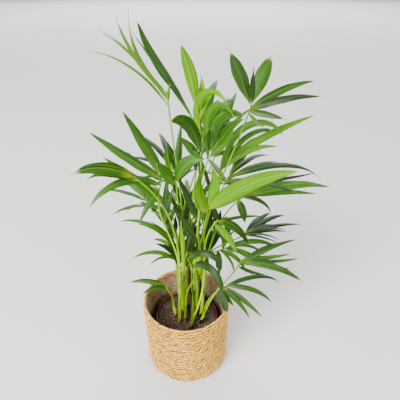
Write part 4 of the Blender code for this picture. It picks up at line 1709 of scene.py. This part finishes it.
@dataclass
class Studio:
    """The view, the light and the floor."""

    camera_place: tuple[float, float, float] = (0.0372, -0.7015, 0.9474)
    camera_pitch: float = 31.14
    lens: float = 32.4
    sensor: float = 36.0
    floor_size: float = 60.0

    def camera(self) -> None:
        """Set the camera at the photograph's viewing angle."""
        data = bpy.data.cameras.new("camera")
        data.lens, data.sensor_width = self.lens, self.sensor
        data.clip_start, data.clip_end = 0.01, 100.0
        camera = bpy.data.objects.new("camera", data)
        camera.location = self.camera_place
        camera.rotation_euler = (math.radians(90 - self.camera_pitch), 0, 0)
        bpy.context.scene.collection.objects.link(camera)
        bpy.context.scene.camera = camera

    def floor(self) -> None:
        """Lay the plain pale floor."""
        deselect_all()
        bpy.ops.mesh.primitive_plane_add(size=self.floor_size, location=(0, 0, 0))
        floor = take_primitive("floor")
        material = bpy.data.materials.new("pale_floor")
        material.use_nodes = True
        shader = material.node_tree.nodes["Principled BSDF"]
        shader.inputs["Base Color"].default_value = linear("cfcecb")
        shader.inputs["Roughness"].default_value = 0.85
        floor.data.materials.append(material)

    def area_light(self, name: str, place: tuple[float, float, float], size: float, power: float,
                   aim: tuple[float, float, float] = (0.0, 0.0, 0.4)) -> None:
        """Hang a soft square light.

        Args:
            name: Its name.
            place: Where it hangs.
            size: Its side.
            power: Its power in watts.
            aim: What it points at, the plant's middle if left out.
        """
        data = bpy.data.lights.new(name, "AREA")
        data.size, data.energy = size, power
        light = bpy.data.objects.new(name, data)
        light.location = place
        light.visible_camera = False
        light.rotation_euler = (Vector(place) - Vector(aim)).to_track_quat("Z", "Y").to_euler()
        bpy.context.scene.collection.objects.link(light)

    def build(self) -> None:
        """Set the camera, the lights, the sky and the floor."""
        self.camera()
        self.floor()
        self.area_light("key", (-2.9, -3.5, 4.3), 3.0, 1050.0)
        self.area_light("fill", (3.4, -2.4, 2.6), 3.6, 130.0)
        self.area_light("low", (-0.5, -2.8, 1.0), 1.6, 60.0, (0.0, 0.0, 0.2))
        self.area_light("far", (0.0, 16.0, 9.0), 20.0, 6500.0, (0.0, 15.0, 0.0))
        world = bpy.data.worlds.new("studio")
        world.use_nodes = True
        background = world.node_tree.nodes["Background"]
        background.inputs["Color"].default_value = linear("e8ebee")
        background.inputs["Strength"].default_value = 0.50
        bpy.context.scene.world = world


def main() -> None:
    """Build the pieces in order."""
    logging.basicConfig(level=logging.INFO, format="%(name)s: %(message)s")
    deselect_all()
    Studio().build()
    SeagrassBasket().build()
    FilmLiner().build()
    NurseryPot().build()
    PottingSoil().build()
    PalmPlant().build()
    deselect_all()


if __name__ == "__main__":
    main()
